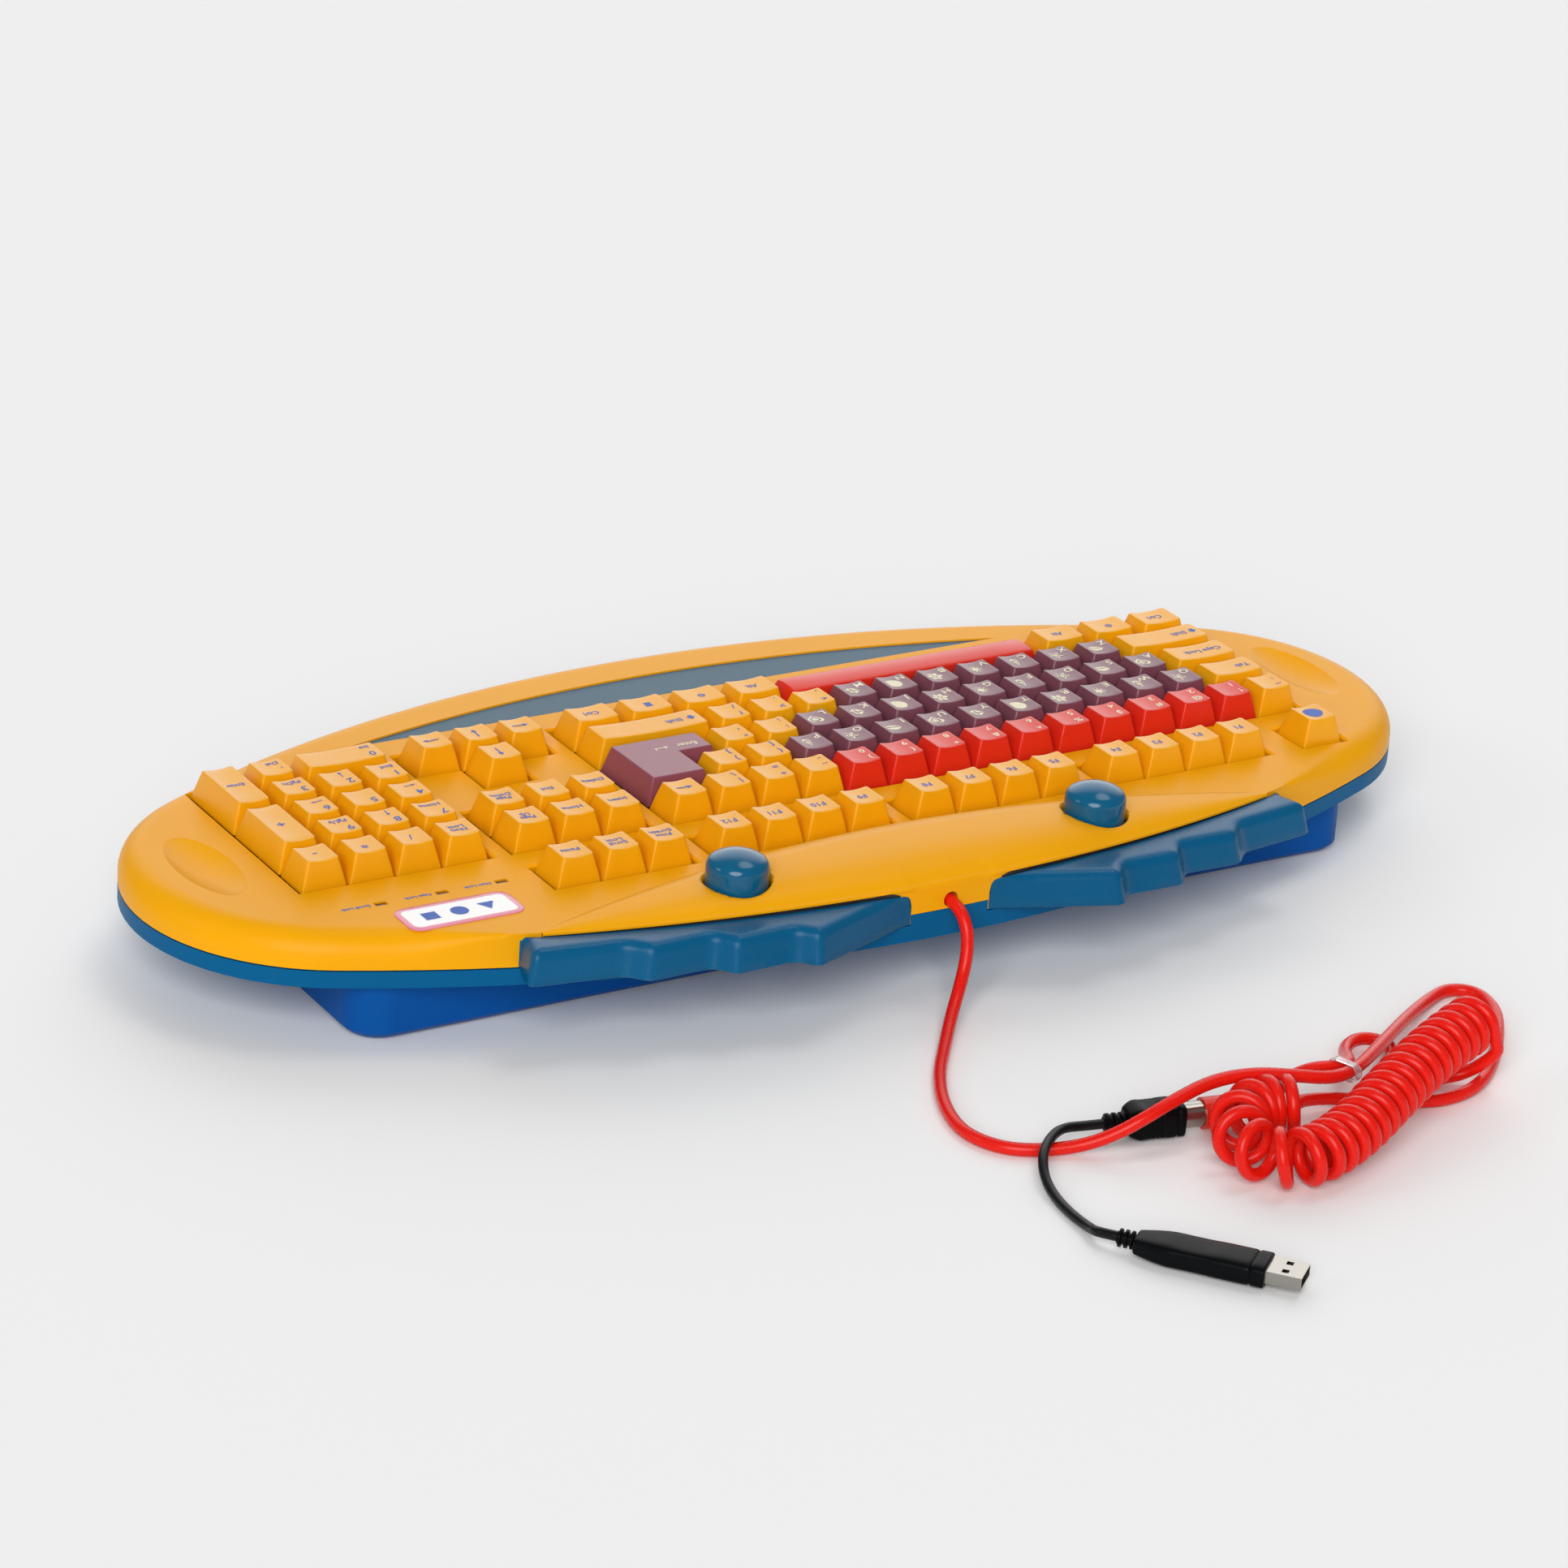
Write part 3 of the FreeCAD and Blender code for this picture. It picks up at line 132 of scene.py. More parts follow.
@dataclass(frozen=True)
class Finish:
    """A real material: its colour, gloss and the grain that its making leaves.

    Attributes:
        name: What the material is.
        colour: sRGB hex colour.
        roughness: Mean roughness of the surface.
        mottle: Share by which the colour drifts over centimetres.
        grain_mm: Size of the surface grain.
        grain_depth: Bump strength of the grain.
        metallic: One for bare metal.
        ior: Index of refraction of the plastic.
        coat: Weight of a clear gloss layer.
        transmission: Weight of light that goes through.
        subsurface: Weight of light that scatters below the skin.
        upper_lit_colour: Lighter colour painted on the part above a height, as painted light on a lit upper
            part.
        upper_z: That height in millimetres.
        drift_mm: Distance over which the colour drifts.
        bump_mm: Height of the grain at full strength.
        gloss_swing: Share by which the roughness follows the grain.
    """

    name: str
    colour: str
    roughness: float
    mottle: float = 0.05
    grain_mm: float = 0.9
    grain_depth: float = 0.06
    metallic: float = 0.0
    ior: float = 1.44
    coat: float = 0.0
    transmission: float = 0.0
    subsurface: float = 0.0
    upper_lit_colour: str = ""
    upper_z: float = 0.0
    drift_mm: float = 30.0
    bump_mm: float = 0.1
    gloss_swing: float = 0.12

    def shade(self, tree: bpy.types.NodeTree, place: bpy.types.NodeSocket) -> bpy.types.NodeSocket:
        """Colour that drifts between a darker and a lighter tone, and above a height may change to a painted
        lit colour.

        Args:
            tree: Node tree of the material.
            place: Socket with the Object coordinates.

        Returns:
            The socket that gives the colour.
        """
        colour = linear(self.colour)[:3]
        darker = tuple(c * (1.0 - self.mottle) for c in colour) + (1.0,)
        lighter = tuple(min(1.0, c * (1.0 + self.mottle)) for c in colour) + (1.0,)
        drift = add_node(
            tree, "ShaderNodeTexNoise", {"Scale": 1.0 / (self.drift_mm * MM), "Detail": 3.0},
            {"Vector": place})
        mixed = add_node(
            tree, "ShaderNodeMix", {"data_type": "RGBA", MIX_A: darker, MIX_B: lighter},
            {"Factor": drift.outputs["Fac"]})
        # Painted light: above a height the colour changes to a lighter one, for light that falls on the upper
        # part
        if self.upper_lit_colour:
            height = add_node(tree, "ShaderNodeSeparateXYZ", {}, {"Vector": place}).outputs["Z"]
            above = add_node(
                tree, "ShaderNodeMath", {"operation": "GREATER_THAN", 1: self.upper_z * MM}, {0: height})
            mixed = add_node(
                tree, "ShaderNodeMix", {"data_type": "RGBA", MIX_B: linear(self.upper_lit_colour)},
                {"Factor": above.outputs[0], MIX_A: mixed.outputs[MIX_RESULT]})
        return mixed.outputs[MIX_RESULT]

    def material(self) -> bpy.types.Material:
        """Make the material once and find it again after that.

        Returns:
            The material.
        """
        known = bpy.data.materials.get(self.name)
        if known is not None:
            return known
        made = bpy.data.materials.new(self.name)
        tree = empty_tree(made)
        place = add_node(tree, "ShaderNodeTexCoord", {}, {}).outputs["Object"]
        grain = add_node(
            tree, "ShaderNodeTexNoise", {"Scale": 1.0 / (self.grain_mm * MM), "Detail": 2.0},
            {"Vector": place}).outputs["Fac"]
        gloss = add_node(
            tree, "ShaderNodeMapRange",
            {"From Min": 0.3, "From Max": 0.7, "To Min": self.roughness * (1.0 - self.gloss_swing),
             "To Max": min(1.0, self.roughness * (1.0 + self.gloss_swing))},
            {"Value": grain})
        bump = add_node(
            tree, "ShaderNodeBump", {"Strength": self.grain_depth, "Distance": self.bump_mm * MM},
            {"Height": grain})
        settings = {
            "Metallic": self.metallic, "Coat Weight": self.coat, "Transmission Weight": self.transmission,
            "Subsurface Weight": self.subsurface}
        if self.metallic < 0.5:
            settings["IOR"] = self.ior
        if self.subsurface > 0.0:
            settings["Subsurface Radius"] = (1.0, 0.4, 0.2)
            settings["Subsurface Scale"] = MM
        shader = add_node(
            tree, "ShaderNodeBsdfPrincipled", settings,
            {"Base Color": self.shade(tree, place), "Roughness": gloss.outputs["Result"],
             "Normal": bump.outputs["Normal"]})
        add_node(tree, "ShaderNodeOutputMaterial", {}, {"Surface": shader.outputs["BSDF"]})
        return made


def key_plastic(tone: str, colour: str, mottle: float, ior: float) -> Finish:
    """Key cap ABS from a smoother mould than the case, so that edges and tops catch the light."""
    return Finish("moulded key ABS " + tone, colour, 0.32, mottle, grain_mm=0.8, grain_depth=0.06, ior=ior)


# Real moulded grain is about 0.1 mm. Here it is 0.5 mm or more, as coarse as it needs to show.
# Injection-moulded ABS with a fine spark texture: satin, bright and even
CASE_YELLOW = Finish("moulded ABS yellow", "#EFA506", 0.36, 0.03, grain_mm=1.0, grain_depth=0.14, ior=1.19)
# Smooth key caps with a soft sheen along their edges
KEY_YELLOW = key_plastic("yellow", "#EEA606", 0.03, 1.40)
KEY_PURPLE = key_plastic("dusky purple", "#784452", 0.05, 1.52)
KEY_ROSE = key_plastic("rose purple", "#8C4A5A", 0.05, 1.44)
KEY_RED = key_plastic("red", "#DC2A16", 0.04, 1.38)
# The base is one moulding in one blue plastic. Its rim above 22.6 mm is painted lighter and greener as
# painted light, and its tub darker and bluer as painted shade
BASE_BLUE = Finish(
    "moulded ABS royal blue", "#064F9A", 0.40, 0.05, grain_mm=1.2, grain_depth=0.12, ior=1.16,
    upper_lit_colour="#035A8A", upper_z=22.6)
# Grips have a coarse leather-like texture that breaks up the highlights
GRIP_TEAL = Finish("textured ABS teal blue", "#03567F", 0.29, 0.06, grain_mm=1.1, grain_depth=0.50, ior=1.26)
# Domes are polished, so they show a small clear highlight
DOME_TEAL = Finish("polished ABS teal blue", "#01597E", 0.16, 0.05, grain_mm=2.0, grain_depth=0.02)
# The palm inlay has the coarse texture of a spark-eroded mould
PANEL_GREY_BLUE = Finish(
    "spark-textured ABS grey blue", "#3C6074", 0.50, 0.08, grain_mm=0.9, grain_depth=0.40, ior=1.36)
# Soft PVC over the wires: a waxy sheen and a little light below the skin
CORD_RED = Finish(
    "soft PVC red", "#E21A0E", 0.28, 0.05, grain_mm=1.6, grain_depth=0.05, ior=1.32, subsurface=0.08)
CORD_BLACK = Finish("soft PVC black", "#060708", 0.36, 0.10, grain_mm=1.4, grain_depth=0.08, ior=1.32)
# Moulded plug bodies: deep black with a dull broken sheen
PLUG_BLACK = Finish("satin PVC black", "#07080A", 0.36, 0.12, grain_mm=0.8, grain_depth=0.25, ior=1.17)
# Bright plate on the connectors, and duller zinc on the hidden steel
NICKEL = Finish("nickel plate", "#A39F98", 0.24, 0.05, grain_mm=0.6, grain_depth=0.03, metallic=1.0)
STEEL = Finish("zinc-plated steel", "#A8AAAC", 0.35, 0.08, grain_mm=0.6, grain_depth=0.05, metallic=1.0)
# Rubbers: matt, the silicone a little milky
RUBBER = Finish("moulded rubber black", "#1B1B1B", 0.75, 0.10, grain_mm=0.7, grain_depth=0.20)
SILICONE = Finish("silicone rubber pale", "#D5D4CE", 0.60, 0.05, grain_mm=1.0, grain_depth=0.05)
# Dark inner mouldings that read as shadow between the keys, and the painted shade strip in the groove behind
# each grip
INNER_DARK_AND_SHADE = Finish("moulded ABS charcoal and painted shade", "#26262A", 0.55, 0.08, grain_mm=1.0, grain_depth=0.10)
# Unlit lamp windows: dark red-brown with a gloss
LAMP_CLEAR = Finish("smoked acrylic lamp window", "#5A1A10", 0.25, 0.05, grain_mm=0.6, grain_depth=0.04)
# Green lacquer over the copper of the board
BOARD_GREEN = Finish("solder-masked board", "#12502C", 0.45, 0.10, grain_mm=1.5, grain_depth=0.05)
# Clear film that lets what lies under it show through
FILM_CLEAR = Finish(
    "clear PVC film", "#EDF1F4", 0.12, 0.02, grain_mm=2.0, grain_depth=0.05, transmission=0.85)
# Pad-printed inks: matt, with slightly uneven cover
INK_BLUE = Finish("pad-printed ink blue", "#3560B8", 0.55, 0.12, grain_mm=0.5, grain_depth=0.02)
INK_CREAM = Finish("pad-printed ink cream", "#EDE3C4", 0.55, 0.06, grain_mm=0.5, grain_depth=0.02)
# Printed polyester foil under a gloss film
BADGE_PINK = Finish("printed foil pink", "#E2849C", 0.30, 0.03, grain_mm=4.0, grain_depth=0.01, coat=0.3)
BADGE_WHITE = Finish("printed foil white", "#F2F2F0", 0.28, 0.01, grain_mm=4.0, grain_depth=0.01, coat=0.3)


def unit(vectors: Any) -> np.ndarray:
    """Directions of length one, from one vector or rows of them."""
    return np.asarray(vectors) / np.linalg.norm(vectors, axis=-1, keepdims=True)


def full_turn(count: int) -> np.ndarray:
    """Angles spread evenly over a whole turn."""
    return np.linspace(0.0, 2.0 * math.pi, count, endpoint=False)


def polar(radius: Any, angle: np.ndarray) -> Outline:
    """Points at a radius and an angle about the origin, as x and y columns."""
    return np.stack([radius * np.cos(angle), radius * np.sin(angle)], axis=1)


def level(flat: np.ndarray, x: float, y: float, z: float) -> np.ndarray:
    """Flat points about a place on a level plane."""
    return np.column_stack([flat + np.array([x, y]), np.full(len(flat), z)])


def mirrored(points: np.ndarray, side: int) -> np.ndarray:
    """A grid of the user's right, or its mirror image with its rows reversed so that faces stay outward."""
    return points if side > 0 else (points * np.array([-1.0, 1.0, 1.0]))[::-1]


def path_reach(path: np.ndarray) -> np.ndarray:
    """Distance along a path at each of its points."""
    return np.concatenate([[0.0], np.cumsum(np.linalg.norm(np.diff(path, axis=0), axis=1))])


def at_reach(path: np.ndarray, places: np.ndarray) -> np.ndarray:
    """Points of a path at distances along it."""
    reach = path_reach(path)
    return np.column_stack([np.interp(places, reach, column) for column in path.T])


def grid_faces(rows: int, columns: int) -> list[list[int]]:
    """Quads of a grid whose points run row by row, where each row joins its own start.

    Args:
        rows: Number of rows.
        columns: Number of points in a row.

    Returns:
        Four corners of each face.
    """
    row, column = np.meshgrid(np.arange(rows - 1), np.arange(columns), indexing="ij")
    here = row * columns + column
    beside = row * columns + (column + 1) % columns
    return np.stack([here, beside, beside + columns, here + columns], axis=-1).reshape(-1, 4).tolist()


class Shell:
    """Points and faces that grow into one mesh."""

    def __init__(self) -> None:
        """Start with nothing."""
        self.points: list[np.ndarray] = []
        self.faces: list[list[int]] = []
        self.count = 0

    def add(self, points: np.ndarray, faces: Iterable[Sequence[int]]) -> None:
        """Add points and faces.

        Args:
            points: Points in millimetres.
            faces: Corners of each face, as numbers of these points.
        """
        self.faces.extend([[i + self.count for i in face] for face in faces])
        self.points.append(points.reshape(-1, 3))
        self.count += len(self.points[-1])

    def add_grid(self, points: np.ndarray, capped: bool = True) -> None:
        """Add a grid whose rows are closed rings.

        Args:
            points: Points by row and by place in the row.
            capped: Whether flat faces close the first and the last row.
        """
        rows, columns = points.shape[:2]
        faces = grid_faces(rows, columns)
        if capped:
            faces.append(list(range(columns))[::-1])
            faces.append(list(range((rows - 1) * columns, rows * columns)))
        self.add(points, faces)

    def mesh(self, name: str, sharp_degrees: float = SHARP_DEGREES) -> bpy.types.Mesh:
        """Write the mesh in metres, smooth except at sharp edges.

        Args:
            name: Name of the mesh.
            sharp_degrees: Angle past which an edge is sharp.

        Returns:
            The mesh.
        """
        made = bpy.data.meshes.new(name)
        made.from_pydata((np.concatenate(self.points) * MM).tolist(), [], self.faces)
        made.update()
        made.polygons.foreach_set("use_smooth", np.ones(len(made.polygons), dtype=bool))
        made.set_sharp_from_angle(angle=math.radians(sharp_degrees))
        return made


def new_object(name: str, data: Any) -> bpy.types.Object:
    """Make an object and link it to the scene.

    Args:
        name: Name of the object.
        data: Its mesh, curve, camera or lamp.

    Returns:
        The object.
    """
    made = bpy.data.objects.new(name, data)
    bpy.context.scene.collection.objects.link(made)
    return made


def evaluated_mesh(thing: bpy.types.Object) -> bpy.types.Mesh:
    """Mesh of an object as it stands after its modifiers."""
    bpy.context.view_layer.update()
    return bpy.data.meshes.new_from_object(thing.evaluated_get(bpy.context.evaluated_depsgraph_get()))


def mesh_points(mesh: bpy.types.Mesh) -> np.ndarray:
    """Read the points of a mesh.

    Args:
        mesh: Mesh in metres.

    Returns:
        Its points in millimetres, one to a row.
    """
    found = np.empty(len(mesh.vertices) * 3)
    mesh.vertices.foreach_get("co", found)
    return found.reshape(-1, 3) / MM


def add_piece(
    name: str, data: Any, finish: Finish, body: str, replaced: Sequence[str] = ()
) -> bpy.types.Object:
    """Put a finished piece on its body.

    Args:
        name: Name of the piece.
        data: Its mesh or curve.
        finish: Its material.
        body: Body that it rides on.
        replaced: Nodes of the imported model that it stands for.

    Returns:
        The new object.
    """
    piece = new_object(name, data)
    data.materials.append(finish.material())
    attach(piece, body)
    if replaced:
        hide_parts(*replaced)
    LOG.info("piece %s on %s", name, body)
    return piece


def add_solid(
    name: str, grids: Iterable[np.ndarray], finish: Finish, body: str,
    replaced: Sequence[str] = (), sharp_degrees: float = SHARP_DEGREES, capped: bool = True,
) -> bpy.types.Object:
    """Put a piece made of grids on its body.

    Args:
        name: Name of the piece.
        grids: Points of each grid, by row and by place in the row.
        finish: Its material.
        body: Body that it rides on.
        replaced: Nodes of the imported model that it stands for.
        sharp_degrees: Angle past which an edge is sharp.
        capped: Whether flat faces close the ends of the grids.

    Returns:
        The new object.
    """
    shell = Shell()
    for points in grids:
        shell.add_grid(points, capped)
    return add_piece(name, shell.mesh(name, sharp_degrees), finish, body, replaced)


def add_prints(name: str, patches: Iterable[Patch], ink: Finish, body: str) -> None:
    """Put flat prints on a body as one piece.

    Args:
        name: Name of the piece.
        patches: Points and faces of each print.
        ink: Its material.
        body: Body that it rides on.
    """
    shell = Shell()
    for points, faces in patches:
        shell.add(points, faces)
    add_piece(name, shell.mesh(name), ink, body)


@dataclass(frozen=True)
class CaseOutline:
    """Plan of the case: two end arcs joined by a front arc and a rear arc."""

    end_x: float = 192.5
    end_y: float = -6.5
    end_r: float = 77.0
    rear_y: float = 112.5
    deck_z: float = 43.0

    def rear_radius(self) -> float:
        """Radius of the rear arc that touches both end arcs."""
        reach = self.rear_y - self.end_y
        return (self.end_x ** 2 + reach ** 2 - self.end_r ** 2) / (2.0 * (reach - self.end_r))

    def rear(self, x: np.ndarray) -> np.ndarray:
        """Y of the rear arc at x."""
        radius = self.rear_radius()
        return self.rear_y - radius + np.sqrt(radius ** 2 - x ** 2)


def filled(outline: Outline) -> Patch:
    """A flat shape inside one outline."""
    return outline, [list(range(len(outline)))]


def band(outline: Outline, share: float) -> Patch:
    """A flat band between an outline and its own copy at a share of its size."""
    return np.concatenate([outline * share, outline]), grid_faces(2, len(outline))


class Motif(Enum):
    """Plain printed shapes in a box two units wide."""

    STAR = "star"
    FLOWER = "flower"
    HEART = "heart"
    DROP = "drop"
    MOON = "moon"
    LEAF = "leaf"
    SUN = "sun"
    DIAMOND = "diamond"
    ARROW = "arrow"
    UP_ARROW = "up arrow"
    RETURN_ARROW = "return arrow"
    MENU = "menu"
    DISC = "disc"
    SQUARE = "square"
    TRIANGLE = "triangle"

    def outline(self) -> Outline:
        """The main outline of the shape.

        A star is a polygon of two radii in turn. A heart is a sum of cosines over a cubed sine, a drop is a
        sine curve, and a moon lies between two arcs. Arrows and the like are straight-edged.

        Returns:
            The outline as x and y columns.
        """
        t = full_turn(60)
        if self is Motif.STAR:
            corner = np.arange(10)
            return polar(np.where(corner % 2 == 0, 1.0, 0.45), corner * math.pi / 5.0 + RIGHT_ANGLE)
        if self is Motif.HEART:
            high = 13.0 * np.cos(t) - 5.0 * np.cos(2 * t) - 2.0 * np.cos(3 * t) - np.cos(4 * t)
            return np.stack([np.sin(t) ** 3, high / 16.0], axis=1)
        if self is Motif.DROP:
            return np.stack([0.75 * np.sin(t) * np.sin(t / 2.0) ** 2, np.cos(t)], axis=1)
        if self is Motif.MOON:
            outer = np.linspace(0.7, 2.0 * math.pi - 0.7, 30)
            inner = np.linspace(2.0 * math.pi - 0.95, 0.95, 30)
            near = np.stack([0.35 + 0.72 * np.cos(inner), 0.79 * np.sin(inner)], axis=1)
            return np.concatenate([polar(1.0, outer), near])
        corners = {
            Motif.DIAMOND: [[1, 0], [0, 1], [-1, 0], [0, -1]],
            Motif.UP_ARROW: [[0, 1], [-1, 0], [-0.45, 0], [-0.45, -0.8], [0.45, -0.8], [0.45, 0], [1, 0]],
            Motif.RETURN_ARROW: [
                [-1, 0], [-0.5, 0.45], [-0.5, 0.1], [0.8, 0.1], [0.8, 0.7], [1, 0.7], [1, -0.1], [-0.5, -0.1],
                [-0.5, -0.45]],
            Motif.MENU: [[-0.8, -1], [0.8, -1], [0.8, 1], [-0.8, 1]],
            Motif.SQUARE: [[-0.85, -0.85], [0.85, -0.85], [0.85, 0.85], [-0.85, 0.85]],
            Motif.TRIANGLE: [[-1, -0.8], [1, -0.8], [0, 0.9]],
            Motif.ARROW: [
                [-1, 0], [-0.35, 0.38], [-0.35, 0.1], [1, 0.1], [1, -0.1], [-0.35, -0.1], [-0.35, -0.38]],
        }
        if self in corners:
            return np.array(corners[self], dtype=float)
        return polar(1.0, t)

    def patches(self) -> list[Patch]:
        """The flat shapes that make up the print.

        A star, heart or drop is a band round a small copy of itself. A flower is six oval petals round a
        disc, a sun a disc with ten rays, a leaf two powers of a sine beside a vein, and a diamond four
        facets.

        Returns:
            Points and faces of each shape.
        """
        t = full_turn(24)
        if self in (Motif.STAR, Motif.HEART, Motif.DROP):
            return [band(self.outline(), 0.68), filled(self.outline() * 0.42)]
        if self is Motif.FLOWER:
            along = 0.62 + 0.36 * np.cos(t)
            across = 0.27 * np.sin(t)
            petals = []
            for turn in full_turn(6):
                petals.append(filled(np.stack([
                    along * math.cos(turn) - across * math.sin(turn),
                    along * math.sin(turn) + across * math.cos(turn)], axis=1)))
            return petals + [filled(polar(0.2, t))]
        if self is Motif.SUN:
            ray = np.array([0.58, 1.0, 0.58])
            spread = np.array([-0.2, 0.0, 0.2])
            return [filled(polar(ray, turn + spread)) for turn in full_turn(10)] + [filled(polar(0.46, t))]
        if self is Motif.LEAF:
            bend = np.linspace(0.0, math.pi, 24)
            tall = 0.06 + 0.55 * np.sin(bend) ** 1.6
            return [filled(np.stack([-side * np.cos(bend), side * tall], axis=1)) for side in (1.0, -1.0)]
        if self is Motif.DIAMOND:
            facet = np.array([0.12, 0.9, 0.9])
            spread = np.array([0.785, 0.1, 1.47])
            return [filled(polar(facet, turn + spread)) for turn in full_turn(4)]
        return [filled(self.outline())]


@dataclass(frozen=True)
class Mark:
    """A printed word or motif on a key top.

    Attributes:
        text: Letters to print, or nothing where a motif is printed.
        across: Place across the top, from -1 at the user's left to 1.
        along: Place along the top, from -1 at the user's side to 1.
        size: Height of a capital, or half the motif's size, in millimetres.
        motif: Shape to print in place of letters.
        turn: Degrees that a motif is turned.
        left: Whether the text starts at its place, or is centred on it.
    """

    text: str = ""
    across: float = 0.0
    along: float = 0.0
    size: float = 2.6
    motif: Optional[Motif] = None
    turn: float = 0.0
    left: bool = True


class TextPress:
    """Turns words into flat meshes of the built-in plain typeface."""

    cap_share = 0.72
    line_pitch = 0.85
    swell = 0.09

    def __init__(self) -> None:
        """Make one text object that is reused."""
        self.curve = bpy.data.curves.new("type_block", "FONT")
        self.curve.resolution_u = 3
        self.curve.offset = self.swell * MM
        self.curve.space_line = self.line_pitch
        self.curve.align_y = "CENTER"
        self.block = new_object("type_block", self.curve)

    def press(self, mark: Mark) -> Patch:
        """Set a word.

        Args:
            mark: Word with its size and side.

        Returns:
            Points in millimetres, with two columns, and the faces.
        """
        self.curve.body = mark.text
        self.curve.size = mark.size * MM / self.cap_share
        self.curve.align_x = "LEFT" if mark.left else "CENTER"
        mesh = evaluated_mesh(self.block)
        points = mesh_points(mesh)[:, :2]
        faces = [list(face.vertices) for face in mesh.polygons]
        bpy.data.meshes.remove(mesh)
        return points, faces

    def close(self) -> None:
        """Remove the text object."""
        bpy.data.objects.remove(self.block)
        bpy.data.curves.remove(self.curve)


@dataclass(frozen=True)
class KeyTop:
    """Middle of a key's top, and half its sides."""

    x: float
    y: float
    half_x: float
    half_y: float


@dataclass(frozen=True)
class KeyShape:
    """Sizes of a key cap and of the field that it stands in."""

    unit: float = 19.05
    field_units: float = 23.0
    front_y: float = -71.5
    gap: float = 0.9
    skirt_z: float = 41.0
    top_z: float = 53.0
    side_inset: float = 2.85
    front_inset: float = 3.0
    rear_inset: float = 1.6
    dish: float = 0.8
    crown: float = 0.0
    edge: float = 0.5
    skirt_corner: float = 0.5
    top_corner: float = 1.1
    corner_points: int = 5
    edge_points: int = 5
    inner_rings: tuple[float, ...] = (0.75, 0.45, 0.15)

    def bounds(self, x: float, row: float, width: float, depth: float) -> Limits:
        """Plan limits of a key's skirt.

        Args:
            x: Left edge of the key, in units.
            row: Front edge of the key, in units.
            width: Width in units.
            depth: Depth in units.

        Returns:
            Left, right, front and rear.
        """
        half = self.gap / 2.0
        left = (x - self.field_units / 2.0) * self.unit
        front = self.front_y + row * self.unit
        return left + half, left + width * self.unit - half, front + half, front + depth * self.unit - half

    def ring(self, a: float, b: float, corner: float) -> Outline:
        """A rounded rectangle about the origin.

        Each corner is a quarter circle about its own centre, and extra points stand evenly on the edges
        between the corners, so that the dish can bend them.

        Args:
            a: Half its width.
            b: Half its depth.
            corner: Radius of its corners.

        Returns:
            Points as x and y columns.
        """
        sides = np.array([[1, 1], [-1, 1], [-1, -1], [1, -1]], dtype=float)
        sweep = np.linspace(0.0, RIGHT_ANGLE, self.corner_points)
        angle = sweep[None, :] + np.arange(4)[:, None] * RIGHT_ANGLE
        xs = sides[:, :1] * (a - corner) + corner * np.cos(angle)
        ys = sides[:, 1:] * (b - corner) + corner * np.sin(angle)
        corners = np.stack([xs, ys], axis=-1)
        share = np.linspace(0.0, 1.0, self.edge_points + 2)[1:-1, None]
        parts = []
        for here, after in zip(corners, np.roll(corners, -1, axis=0)):
            parts += [here, here[-1] * (1.0 - share) + after[0] * share]
        return np.concatenate(parts)

    def dish_depth(self, flat: np.ndarray, top: KeyTop) -> np.ndarray:
        """Depth below the top: a dish is a parabola across the key, and a crown one from front to rear.

        Args:
            flat: Places about the middle of the top, as x and y columns.
            top: Where the top is.

        Returns:
            Depth at each place.
        """
        dished = self.dish * np.clip(1.0 - (flat[:, 0] / top.half_x) ** 2, 0.0, 1.0)
        return dished + self.crown * np.clip(np.abs(flat[:, 1]) / top.half_y, 0.0, 1.0) ** 2

    def on_top(self, flat: np.ndarray, top: KeyTop, lift: float = 0.0) -> np.ndarray:
        """Places about the middle of a top, laid on its surface or a lift above it."""
        z = self.top_z - self.dish_depth(flat, top) + lift
        return np.column_stack([flat[:, 0] + top.x, flat[:, 1] + top.y, z])

    def cap(self, limits: Limits) -> tuple[np.ndarray, KeyTop]:
        """Rows of rounded rectangles from the skirt over the edge to the middle of the dish.

        The sides lean in evenly from the skirt, and the edge is a quarter circle.

        Args:
            limits: Plan limits of the skirt.

        Returns:
            The grid of points, and where the top is.
        """
        x0, x1, y0, y1 = limits
        middle_x = (x0 + x1) / 2.0
        middle_y = (y0 + y1) / 2.0
        half_x = (x1 - x0) / 2.0
        half_y = (y1 - y0) / 2.0
        draw = (self.front_inset + self.rear_inset) / 2.0
        lean = (self.front_inset - self.rear_inset) / 2.0
        top = KeyTop(middle_x, middle_y + lean, half_x - self.side_inset, half_y - draw)
        levels = [(0.0, 0.0, 0.0), (0.5, 0.0, 0.0)]
        for bend in np.linspace(0.0, RIGHT_ANGLE, 4):
            levels.append((1.0, self.edge * (1.0 - math.cos(bend)), self.edge * (1.0 - math.sin(bend))))
        rows = []
        for share, inset, drop in levels:
            corner = self.skirt_corner + (self.top_corner - self.skirt_corner) * share
            ring = self.ring(half_x - self.side_inset * share - inset, half_y - draw * share - inset, corner)
            depth = self.dish_depth(ring, top) * share + drop
            z = self.skirt_z + (self.top_z - self.skirt_z) * share - depth
            rows.append(np.column_stack([ring[:, 0] + middle_x, ring[:, 1] + middle_y + lean * share, z]))
        rim = rows[-1][:, :2] - np.array([top.x, top.y])
        rows += [self.on_top(rim * scale, top) for scale in self.inner_rings]
        return np.array(rows), top


# Heights of the printed letters
SMALL_TEXT = 2.4
WORD_TEXT = 2.9
PAIR_TEXT = 3.1
LETTER_TEXT = 3.4
DIGIT_TEXT = 3.8


def run(x: float, row: float, count: int = 1, width: float = 1.0) -> list[Limits]:
    """Keys of one width side by side, as place and size in units."""
    return [(x + width * i, row, width, 1.0) for i in range(count)]


